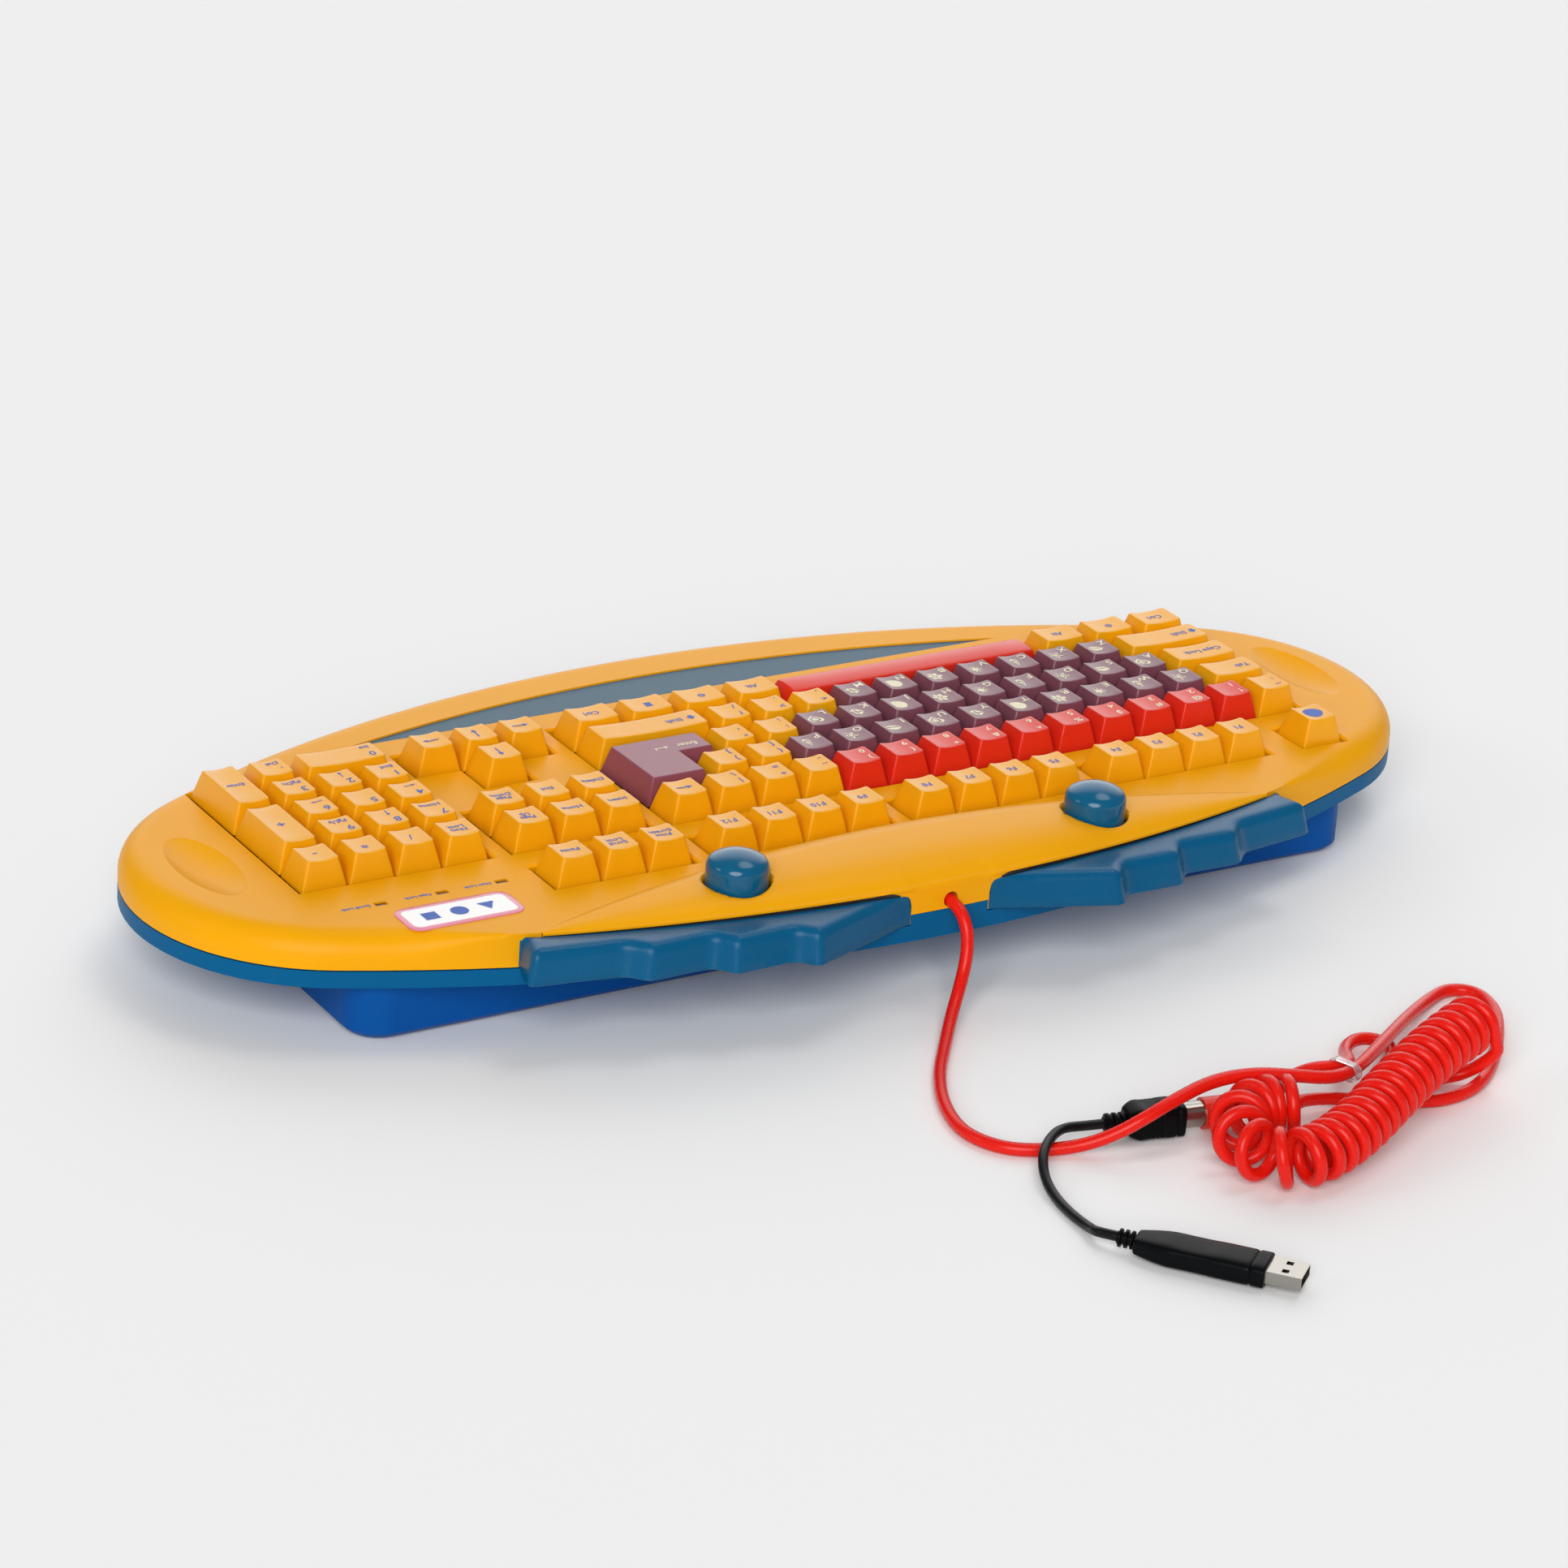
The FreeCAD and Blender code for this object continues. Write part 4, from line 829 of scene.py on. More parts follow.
def words(size: float, *texts: str) -> list[list[Mark]]:
    """One word in the middle of each key."""
    return [[Mark(text, size=size, left=False)] for text in texts]


def side_word(text: str) -> list[list[Mark]]:
    """A word that starts near the left edge of a wide key."""
    return [[Mark(text, -0.8, 0.0, WORD_TEXT)]]


def pairs(upper: str, lower: str) -> list[list[Mark]]:
    """Two characters to a key, one above the other at the user's left."""
    return [[Mark(u, -0.7, 0.45, PAIR_TEXT), Mark(d, -0.7, -0.5, PAIR_TEXT)] for u, d in zip(upper, lower)]


def arrows(*turns: float) -> list[list[Mark]]:
    """An arrow in the middle of each key, turned by some degrees from the user's left."""
    return [[Mark("", 0.0, 0.0, 3.4, Motif.ARROW, turn)] for turn in turns]


def letters(text: str, shift: int) -> list[list[Mark]]:
    """A row of letters, each with a small motif beside it.

    Args:
        text: Letters from the user's left.
        shift: Motif that the first letter takes.

    Returns:
        The marks of each key.
    """
    motifs = [
        Motif.STAR, Motif.FLOWER, Motif.HEART, Motif.DROP, Motif.MOON, Motif.LEAF, Motif.SUN, Motif.DIAMOND]
    stride = 3
    row = []
    for i, character in enumerate(text):
        motif = motifs[(i * stride + shift) % len(motifs)]
        row.append([Mark(character, -0.85, -0.5, LETTER_TEXT), Mark("", 0.28, 0.12, 3.5, motif)])
    return row


def pad_marks(numbers: str, *names: str) -> list[list[Mark]]:
    """Number pad legends: a digit over a small word or an arrow.

    Args:
        numbers: Digits from the user's left.
        names: Word below each digit, or nothing.

    Returns:
        The marks of each key.
    """
    turns = {"8": -90.0, "4": 0.0, "6": 180.0, "2": 90.0}
    row = []
    for number, name in zip(numbers, names):
        marks = [Mark(number, -0.7, 0.42, DIGIT_TEXT)]
        if name:
            marks.append(Mark(name, -0.7, -0.5, SMALL_TEXT))
        if number in turns:
            marks.append(Mark("", -0.3, -0.5, 2.3, Motif.ARROW, turns[number]))
        row.append(marks)
    return row


@dataclass(frozen=True)
class KeyGroup:
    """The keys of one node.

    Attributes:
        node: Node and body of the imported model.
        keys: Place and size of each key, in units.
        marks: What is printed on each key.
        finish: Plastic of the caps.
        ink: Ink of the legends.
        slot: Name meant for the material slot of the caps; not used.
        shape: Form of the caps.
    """

    node: str
    keys: list[Limits]
    marks: list[list[Mark]]
    finish: Finish = KEY_YELLOW
    ink: Finish = INK_BLUE
    slot: str = "yellow_plastic"
    shape: KeyShape = KeyShape()

    def legend(self, mark: Mark, top: KeyTop, press: TextPress) -> list[Patch]:
        """Lay a mark on a key's top, a little above the plastic.

        Args:
            mark: Word or motif.
            top: Where the key's top is.
            press: Sets the words.

        Returns:
            The flat shapes of the print, bent to the top.
        """
        place = np.array([mark.across * top.half_x, mark.along * top.half_y])
        if mark.motif is None:
            patches = [press.press(mark)]
        else:
            turn = math.radians(mark.turn)
            spin = np.array([[math.cos(turn), math.sin(turn)], [-math.sin(turn), math.cos(turn)]])
            patches = [(points @ spin * mark.size, faces) for points, faces in mark.motif.patches()]
        return [(self.shape.on_top(flat + place, top, PRINT_LIFT), faces) for flat, faces in patches]

    def build(self, press: TextPress) -> None:
        """Build the caps and their legends.

        Args:
            press: Sets the words.
        """
        grids = []
        prints = []
        for key, marks in zip(self.keys, self.marks):
            points, top = self.shape.cap(self.shape.bounds(*key))
            grids.append(points)
            for mark in marks:
                prints += self.legend(mark, top, press)
        add_solid("caps_" + self.node, grids, self.finish, self.node, [self.node])
        if prints:
            add_prints("legends_" + self.node, prints, self.ink, self.node)


@dataclass
class EnterKey:
    """The L-shaped Enter key."""

    shape: KeyShape
    lower_units: float = 12.75
    upper_units: float = 13.5
    right_units: float = 15.0
    row: float = 2.0
    word_across: float = 4.0
    arrow_across: float = 19.5
    print_along: float = 9.0

    def outline(self, inset: float) -> Outline:
        """The L at a share of the height: corners drawn in as the sides lean.

        Args:
            inset: Share of the full lean.

        Returns:
            Six corners as x and y columns.
        """
        s = self.shape
        lower = s.bounds(self.lower_units, self.row, self.right_units - self.lower_units, 1.0)
        upper = s.bounds(self.upper_units, self.row + 1.0, self.right_units - self.upper_units, 1.0)
        side = s.side_inset * inset
        front = lower[2] + s.front_inset * inset
        step = upper[2] - s.gap - s.rear_inset * inset
        rear = upper[3] - s.rear_inset * inset
        right = lower[1] - side
        return np.array([
            [lower[0] + side, front], [right, front], [right, rear], [upper[0] + side, rear],
            [upper[0] + side, step], [lower[0] + side, step]])

    def build(self, press: TextPress) -> None:
        """Build the cap with rounded edges, and its legend.

        Args:
            press: Sets the word.
        """
        s = self.shape
        height = s.top_z - s.dish
        upper = self.outline(1.0)
        sides = np.stack([level(self.outline(0.0), 0.0, 0.0, s.skirt_z), level(upper, 0.0, 0.0, height)])
        piece = add_solid("caps_enter_key", [sides], KEY_ROSE, "enter_key", ["enter_key"])
        bevel = piece.modifiers.new("rounded edges", "BEVEL")
        bevel.width = s.edge * MM
        bevel.segments = 3
        word = press.press(Mark("Enter", size=WORD_TEXT))
        arrow = filled(Motif.RETURN_ARROW.outline() * WORD_TEXT)
        left, front = upper[0]
        prints = []
        for (flat, faces), across in ((word, self.word_across), (arrow, self.arrow_across)):
            prints.append((level(flat, left + across, front + self.print_along, height + PRINT_LIFT), faces))
        add_prints("legends_enter_key", prints, INK_CREAM, "enter_key")


class KeyField:
    """All key caps with their printed legends."""

    function_row = 5.75
    edit_x = 15.5
    pad_x = 19.0
    thumb_width = 1.25
    bar = KeyShape(top_z=50.8, dish=0.0, crown=0.8, edge=0.8)

    def groups(self) -> list[KeyGroup]:
        """List the key groups from the user's left to right, row by row.

        Returns:
            The groups.
        """
        top = self.function_row
        edit = self.edit_x
        pad = self.pad_x
        thumb = self.thumb_width
        purple = {"finish": KEY_PURPLE, "ink": INK_CREAM, "slot": "purple_plastic"}
        red = {"finish": KEY_RED, "ink": INK_CREAM, "slot": "red_plastic"}
        shift = [[Mark("", -0.82, 0.0, 2.0, Motif.UP_ARROW), Mark("Shift", -0.66, 0.0, WORD_TEXT)]]
        system = [[Mark("", -0.1, 0.1, 2.0, Motif.DIAMOND)]]
        menu = [[Mark("", -0.1, 0.1, 1.8, Motif.MENU)]]
        control = words(WORD_TEXT, "Ctrl")
        alternate = words(WORD_TEXT, "Alt")
        zero = [[Mark("0", -0.85, 0.4, 3.7), Mark("Ins", -0.85, -0.5, SMALL_TEXT)]]
        point = [[Mark(".", -0.7, 0.4, 3.7), Mark("Del", -0.7, -0.5, SMALL_TEXT)]]
        listed = [KeyGroup("escape_key", run(0.11, top), [[Mark("", 0.0, 0.0, 4.0, Motif.DISC)]])]
        for first, x in ((1, 2.0), (5, 6.5), (9, 11.0)):
            names = [f"F{i}" for i in range(first, first + 4)]
            listed.append(KeyGroup(
                f"function_keys_{first}_to_{first + 3}", run(x, top, 4), words(PAIR_TEXT, *names)))
        listed += [
            KeyGroup("system_keys", run(edit, top, 3),
                     words(SMALL_TEXT, "Print\nScreen", "Scroll\nLock", "Pause")),
            KeyGroup("symbol_keys", run(0.0, 4) + run(11.0, 4, 3), pairs("~_+|", "`-=\\")),
            KeyGroup("digit_keys", run(1.0, 4, 10), pairs("!@#$%^&*()", "1234567890"), **red),
            KeyGroup("backspace_key", run(14.0, 4), arrows(0.0)),
            KeyGroup("tab_key", run(0.0, 3, 1, 1.5), side_word("Tab")),
            KeyGroup("letter_keys_top", run(1.5, 3, 10), letters("QWERTYUIOP", 0), **purple),
            KeyGroup("bracket_keys", run(11.5, 3, 2), pairs("{}", "[]")),
            KeyGroup("caps_lock_key", run(0.0, 2, 1, 1.75), side_word("Caps Lock")),
            KeyGroup("letter_keys_middle", run(1.75, 2, 9), letters("ASDFGHJKL", 2), **purple),
            KeyGroup("quote_keys", run(10.75, 2, 2), pairs(":\"", ";'")),
            KeyGroup("left_shift_key", run(0.0, 1, 1, 2.25), shift),
            KeyGroup("letter_keys_bottom", run(2.25, 1, 7), letters("ZXCVBNM", 5), **purple),
            KeyGroup("stop_keys", run(9.25, 1, 3), pairs("<>?", ",./")),
            KeyGroup("right_shift_key", run(12.25, 1, 1, 2.75), shift),
            KeyGroup("left_control_keys", run(0.0, 0, 3, thumb), control + system + alternate),
            KeyGroup("space_bar", run(3.75, 0, 1, 6.25), [[]], shape=self.bar, **red),
            KeyGroup("right_control_keys", run(10.0, 0, 4, thumb), alternate + system + menu + control),
            KeyGroup("insert_keys", run(edit, 4, 3), words(SMALL_TEXT, "Insert", "Home", "Page\nUp")),
            KeyGroup("delete_keys", run(edit, 3, 3), words(SMALL_TEXT, "Delete", "End", "Page\nDown")),
            KeyGroup("arrow_keys", run(edit, 0, 3) + run(edit + 1.0, 1), arrows(0.0, 90.0, 180.0, -90.0)),
            KeyGroup("numpad_lock_keys", run(pad, 4, 4),
                     words(SMALL_TEXT, "Num\nLock") + words(DIGIT_TEXT, "/") + words(4.6, "*", "-")),
            KeyGroup("numpad_keys_7_to_9", run(pad, 3, 3), pad_marks("789", "Home", "", "PgUp")),
            KeyGroup("numpad_keys_4_to_6", run(pad, 2, 3), pad_marks("456", "", "", "")),
            KeyGroup("numpad_keys_1_to_3", run(pad, 1, 3), pad_marks("123", "End", "", "PgDn")),
            KeyGroup("numpad_plus_key", [(pad + 3.0, 2, 1.0, 2.0)], words(4.8, "+")),
            KeyGroup("numpad_enter_key", [(pad + 3.0, 0, 1.0, 2.0)], words(SMALL_TEXT, "Enter")),
            KeyGroup("numpad_zero_key", run(pad, 0, 1, 2.0), zero),
            KeyGroup("numpad_point_key", run(pad + 2.0, 0), point),
        ]
        return listed

    def build(self) -> None:
        """Build every group of caps and its legends."""
        press = TextPress()
        for group in self.groups():
            group.build(press)
        EnterKey(KeyShape()).build(press)
        press.close()


@dataclass
class Cowl:
    """The smooth raised lens along the rear edge, with a rolled rim and a hole for each dome button."""

    outline: CaseOutline
    tip_x: float = 158.0
    tip_gap: float = 1.0
    front_y: float = 59.8
    skin: float = 0.12
    rise: float = 9.4
    crest: float = 0.42
    rim_share: float = 0.22
    fall_power: float = 4.0
    lip: float = 1.1
    roll: float = 0.6
    overhang: float = 0.9
    tab_x: float = 16.6
    tab_lip: float = 2.6
    tab_overhang: float = 0.35
    floor_drop: float = 1.2
    hole_r: float = 13.0
    hole_dip: float = 0.45
    hole_soft: float = 0.9
    drill_z: tuple[float, float] = (30.0, 70.0)
    stations: int = 181

    def lift(self, x: np.ndarray) -> np.ndarray:
        """Height of the crest above the deck: a parabola from tip to tip."""
        return self.rise * np.clip(1.0 - (x / self.tip_x) ** 2, 0.0, None)

    def rim_z(self, x: np.ndarray) -> np.ndarray:
        """Height of the rear rim."""
        return self.outline.deck_z + self.skin + self.lift(x) * self.rim_share

    def section(self, x: np.ndarray) -> np.ndarray:
        """Closed sections, from the front line over the crest, round the rim and back below.

        The front rises as a parabola to the crest, and the rear falls from it as a power of the distance.
        Near a dome hole the surface dips a little, as a rounded lip does. Beside the cord tab the rim
        overhangs the grips, and on the tab it is flush.

        Args:
            x: Place of each section.

        Returns:
            Points by section and by place round it.
        """
        beside = np.clip(np.abs(x) - self.tab_x, 0.0, 1.0)
        lip = self.tab_lip + (self.lip - self.tab_lip) * beside
        rear = self.outline.rear(x) + self.tab_overhang + (self.overhang - self.tab_overhang) * beside
        tip_rear = self.outline.rear(np.array([self.tip_x]))
        front = self.front_y + (tip_rear - self.front_y) * (x / self.tip_x) ** 2
        rise = self.lift(x)[:, None]
        t = np.concatenate([np.linspace(0.0, 0.3, 14)[:-1], np.linspace(0.3, 1.0, 40)])
        up = 1.0 - (1.0 - np.clip(t / self.crest, 0.0, 1.0)) ** 2
        past = np.clip((t - self.crest) / (1.0 - self.crest), 0.0, 1.0)
        down = (1.0 - self.rim_share) * past ** self.fall_power
        y = front[:, None] + (rear - self.roll - front)[:, None] * t
        reach = np.hypot(np.abs(x)[:, None] - DOME_X, y - DOME_Y) - self.hole_r
        dip = self.hole_dip * np.exp(-np.clip(reach, 0.0, None) / self.hole_soft)
        z = self.outline.deck_z + self.skin + rise * (up - down) - dip * np.clip(rise / 3.0, 0.0, 1.0)
        bend = np.linspace(0.0, RIGHT_ANGLE, 6)[1:]
        roll_y = (rear - self.roll)[:, None] + self.roll * np.sin(bend)
        roll_z = z[:, -1:] - self.roll * (1.0 - np.cos(bend))
        lip_z = z[:, -1] - lip
        floor = np.full_like(x, self.outline.deck_z - self.floor_drop)
        below_y = np.stack([rear, rear - 1.0, rear - 2.0, front + 1.5, front], axis=1)
        below_z = np.stack([lip_z, lip_z, floor, floor, floor + 0.6], axis=1)
        ys = np.concatenate([y, roll_y, below_y], axis=1)
        zs = np.concatenate([z, roll_z, below_z], axis=1)
        return np.stack([np.repeat(x[:, None], ys.shape[1], axis=1), ys, zs], axis=-1)

    def build(self) -> None:
        """Build the lens and cut the two holes."""
        end_x = self.tip_x - self.tip_gap
        lens = self.section(np.linspace(end_x, -end_x, self.stations))
        piece = add_solid("cowl_skin", [lens], CASE_YELLOW, CASE, sharp_degrees=50.0)
        circle = polar(self.hole_r, full_turn(72))
        cutters = Shell()
        for x in (DOME_X, -DOME_X):
            cutters.add_grid(np.array([level(circle, x, DOME_Y, z) for z in self.drill_z]))
        drill = new_object("drill", cutters.mesh("drill"))
        cut = piece.modifiers.new("dome holes", "BOOLEAN")
        cut.object = drill
        cut.solver = "EXACT"
        done = evaluated_mesh(piece)
        piece.modifiers.clear()
        piece.data = done
        bpy.data.objects.remove(drill)


@dataclass
class HandGrip:
    """A stepped finger grip on the rear edge: four rounded blocks, each set back from the last.

    Attributes:
        side: One for the user's right, minus one for the left.
        name: Word for that side.
        outline: Plan of the case.
        cowl: The cowl over the grip.
        wall_steps: Inset and share of the height of each line up the outer wall.
        top_steps: Shares of the way over the top.
        corners: Plan of the outer edge, and the radius of each corner.
    """

    side: int
    name: str
    outline: CaseOutline
    cowl: Cowl
    bottom_z: float = 29.9
    top_z: float = 42.6
    shoulder: float = 4.4
    shoulder_share: float = 0.6
    inner_x: float = 16.9
    outer_x: float = 164.5
    end_r: float = 5.0
    groove: float = 1.4
    groove_depth: float = 3.2
    gap: float = 1.1
    wall_gap: float = 0.1
    rim_gap: float = 0.2
    sunk: float = 1.0
    least_line: float = 0.05
    least_bend: float = 0.3
    columns: int = 240
    wall_steps: tuple[tuple[float, float], ...] = ((0.5, 0.0), (0.0, 0.05), (0.99, 0.5), (2.2, 1.0))
    top_steps: tuple[float, ...] = (0.02, 0.06, 0.12, 0.20, 0.30, 0.42, 0.56, 0.72, 0.88, 1.0)
    corners: tuple[Point, ...] = (
        (24.0, 114.5, 3.0),
        (65.3, 130.0, 2.6),
        (72.0, 122.9, 3.6),
        (96.2, 123.6, 2.6),
        (102.4, 115.4, 3.6),
        (127.2, 116.3, 2.6),
        (134.8, 108.5, 3.6),
        (169.8, 103.4, 4.0),
    )

    def edge(self) -> Outline:
        """Plan of the lower outer edge from wall to wall, evenly spaced.

        Between corners the edge is straight. At a corner a quadratic curve runs from one side to the other,
        which starts and ends a corner radius away from it.

        Returns:
            Points as x and y columns.
        """
        ends = np.array([self.inner_x, self.outer_x])
        wall = np.column_stack([ends, self.outline.rear(ends)])
        corners = np.array(self.corners)
        plan = np.concatenate([wall[:1], corners[:, :2], wall[1:]])
        t = np.linspace(0.0, 1.0, 9)[:, None]
        most = 0.48
        pieces = [plan[:1]]
        for before, corner, after, radius in zip(plan, plan[1:], plan[2:], corners[:, 2]):
            back = before - corner
            ahead = after - corner
            start = corner + back * min(radius / np.linalg.norm(back), most)
            end = corner + ahead * min(radius / np.linalg.norm(ahead), most)
            pieces.append((1 - t) ** 2 * start + 2 * t * (1 - t) * corner + t ** 2 * end)
        path = np.concatenate(pieces + [plan[-1:]])
        return at_reach(path, np.linspace(0.0, path_reach(path)[-1], self.columns))

    @staticmethod
    def distance(points: np.ndarray, path: np.ndarray) -> np.ndarray:
        """Least distance in plan from each point to the runs of a path.

        Args:
            points: Points as x and y columns.
            path: Path as x and y columns.

        Returns:
            One distance to a point.
        """
        start = path[:-1]
        run_along = path[1:] - start
        square = np.maximum((run_along ** 2).sum(axis=1), 1e-9)
        offset = points[:, None, :] - start[None]
        share = np.clip((offset * run_along[None]).sum(axis=2) / square[None], 0.0, 1.0)
        reach = offset - share[:, :, None] * run_along[None]
        return np.sqrt((reach ** 2).sum(axis=2)).min(axis=1)

    def surface(self) -> np.ndarray:
        """Lines that run from the lower edge over the top to the case wall.

        Along a line the wall leans in, then the top rises from the shoulder as a quarter circle of the
        distance to the shoulder line and climbs gently towards the cowl's rim, where it drops into a
        groove.

        Returns:
            Points by line and by step along it.
        """
        edge = self.edge()
        wall_x = np.linspace(self.inner_x, self.outer_x, self.columns)
        wall = np.column_stack([wall_x, self.outline.rear(wall_x) + self.wall_gap])
        length = np.maximum(np.linalg.norm(wall - edge, axis=1), self.least_line)
        way = (wall - edge) / length[:, None]
        along = np.clip(edge[:, 0] - self.inner_x, 0.0, self.end_r)
        drop = self.end_r - np.sqrt(self.end_r ** 2 - (self.end_r - along) ** 2)
        least = np.where(wall_x < self.outer_x / 2.0, self.least_bend, 0.5 * self.shoulder)
        bend = np.clip(self.shoulder_share * length, least, self.shoulder)
        height = self.top_z - bend - drop
        rows = []
        for inset, share_up in self.wall_steps:
            plan = edge + way * (length * np.tanh(inset / length))[:, None]
            rows.append(np.column_stack([plan, self.bottom_z + (height - self.bottom_z) * share_up]))
        shoulder_line = rows[-1][:, :2]
        inner = wall + (shoulder_line - wall) * np.clip(self.groove / length, 0.0, 1.0)[:, None]
        taper = np.clip(1.0 - (wall_x / self.cowl.tip_x) ** 2, 0.0, 1.0)
        back_z = self.cowl.rim_z(wall_x) - self.cowl.lip - self.rim_gap - self.gap * taper
        for step in self.top_steps:
            plan = shoulder_line + (inner - shoulder_line) * step
            depth = np.minimum(self.distance(plan, shoulder_line), bend)
            rounded = np.sqrt(bend ** 2 - (bend - depth) ** 2)
            climb = (back_z - self.top_z) * step ** 2 * depth / bend
            rows.append(np.column_stack([plan, height + rounded + climb]))
        floor_z = rows[-1][:, 2] - self.groove_depth
        behind = wall - np.array([0.0, self.sunk])
        rows.append(np.column_stack([inner, floor_z]))
        rows.append(np.column_stack([behind, floor_z]))
        rows.append(level(behind, 0.0, 0.0, self.bottom_z))
        return np.array(rows).transpose(1, 0, 2)

    def build(self) -> None:
        """Build the grip on its side of the case."""
        add_solid("grip_" + self.name, [mirrored(self.surface(), self.side)], GRIP_TEAL, CASE,
                  [self.name + "_hand_grip"], 60.0)


@dataclass
class ShadeStrip:
    """Painted shade at the back of the groove behind a grip: a thin dark strip up the wall, just under the
    cowl's rim, that stands for the shadow in the gap.
    """

    side: int
    name: str
    outline: CaseOutline
    cowl: Cowl
    start_x: float = 21.9
    end_gap: float = 1.0
    proud: float = 0.15
    thickness: float = 1.0
    height: float = 4.5
    tuck: float = 0.05
    emerge_reach: float = 9.0
    emerge_dip: float = 1.7
    stations: int = 60

    def build(self) -> None:
        """Carry a rectangle along the wall, which comes up from behind the grip along a parabola."""
        x = np.linspace(self.start_x, self.cowl.tip_x - self.end_gap, self.stations)
        front = self.outline.rear(x) + self.proud
        back = front - self.thickness
        emerge = np.clip((x - x[0]) / self.emerge_reach, 0.0, 1.0)
        top = self.cowl.rim_z(x) - self.cowl.lip + self.tuck - self.emerge_dip * (1.0 - emerge) ** 2
        low = top - self.height
        points = np.stack([np.column_stack([x, y, z])
                           for y, z in ((front, low), (front, top), (back, top), (back, low))], axis=1)
        # The strip is painted shade: its dark colour stands for the shadow in the gap under the rim
        add_solid("grip_shade_strip_" + self.name, [mirrored(points, self.side)], INNER_DARK_AND_SHADE, CASE,
                  sharp_degrees=60.0)


@dataclass
class EdgeBlend:
    """The deck's rear edge beyond a grip, whose rounding grows towards the end of the case."""

    side: int
    name: str
    outline: CaseOutline
    start_x: float = 157.0
    square_x: float = 168.0
    grip_reach: float = 2.5
    end_x: float = 208.0
    least_r: float = 0.3
    grip_r: float = 2.2
    full_r: float = 10.0
    skin: float = 0.02
    wall: float = 1.2
    low_z: float = 30.6
    stations: int = 90

    def radius(self, x: np.ndarray) -> np.ndarray:
        """Rounding at x: almost none as far as the grip's end, then growing smoothly to the full radius.

        Args:
            x: Places along the edge.

        Returns:
            Radius at each place.
        """
        grown_x = self.square_x + self.grip_reach
        near = np.clip((x - self.square_x) / self.grip_reach, 0.0, 1.0)
        far = np.clip((x - grown_x) / (self.end_x - grown_x), 0.0, 1.0)
        first = near ** 2 * (3.0 - 2.0 * near)
        second = far ** 2 * (3.0 - 2.0 * far)
        return self.least_r + (self.grip_r - self.least_r) * first + (self.full_r - self.grip_r) * second

    def build(self) -> None:
        """Carry a section along the rear arc: flat deck, quarter circle, wall, and a return inside."""
        x = np.linspace(self.end_x, self.start_x, self.stations)
        edge = np.column_stack([x, self.outline.rear(x)])
        outward = unit(edge - np.array([0.0, self.outline.rear_y - self.outline.rear_radius()]))
        radius = self.radius(x)[:, None]
        top = self.outline.deck_z + self.skin
        bend = np.linspace(0.0, RIGHT_ANGLE, 10)
        # Inset and height of the points: the first stands just under the deck, so that no seam shows
        deck = np.array([[self.full_r + 0.5, top - 0.3], [self.full_r + 0.4, top]])
        inside = np.array([
            [-self.skin, self.low_z], [self.wall, self.low_z], [self.wall, top - 12.0],
            [self.full_r + 1.0, top - 1.0]])
        rounding = (radius * (1.0 - np.sin(bend)) - self.skin, top - radius * (1.0 - np.cos(bend)))
        columns = []
        for i, rounded in enumerate(rounding):
            flat, hidden = [np.tile(part[:, i], (len(x), 1)) for part in (deck, inside)]
            columns.append(np.concatenate([flat, rounded, hidden], axis=1))
        inset, z = columns
        plan = edge[:, None, :] - outward[:, None, :] * inset[:, :, None]
        points = np.concatenate([plan, z[:, :, None]], axis=2)
        add_solid("edge_blend_" + self.name, [mirrored(points, self.side)], CASE_YELLOW, CASE,
                  sharp_degrees=30.0)


@dataclass
class DomeButton:
    """A domed push button, a smooth surface of revolution."""

    side: int
    name: str
    radius: float = 11.6
    low_z: float = 38.0
    top_z: float = 60.6
    cap_r: float = 19.0
    shoulder_r: float = 4.2
    pole_r: float = 0.02

    def build(self) -> None:
        """Turn the side, the shoulder arc and the cap arc about the button's axis."""
        cap_z = self.top_z - self.cap_r
        offset = self.radius - self.shoulder_r
        shoulder_z = cap_z + math.sqrt((self.cap_r - self.shoulder_r) ** 2 - offset ** 2)
        lift = math.atan2(shoulder_z - cap_z, offset)
        low = np.linspace(0.0, lift, 10)
        high = np.linspace(lift, RIGHT_ANGLE, 12)[1:]
        radii = np.concatenate([
            [self.radius, self.radius], offset + self.shoulder_r * np.cos(low), self.cap_r * np.cos(high)])
        heights = np.concatenate([
            [self.low_z, (self.low_z + shoulder_z) / 2.0], shoulder_z + self.shoulder_r * np.sin(low),
            cap_z + self.cap_r * np.sin(high)])
        radii[-1] = self.pole_r
        turn = full_turn(64)
        rings = [level(polar(r, turn), self.side * DOME_X, DOME_Y, z) for r, z in zip(radii, heights)]
        node = self.name + "_dome_button"
        add_solid("dome_" + self.name, [np.array(rings)], DOME_TEAL, node, [node])


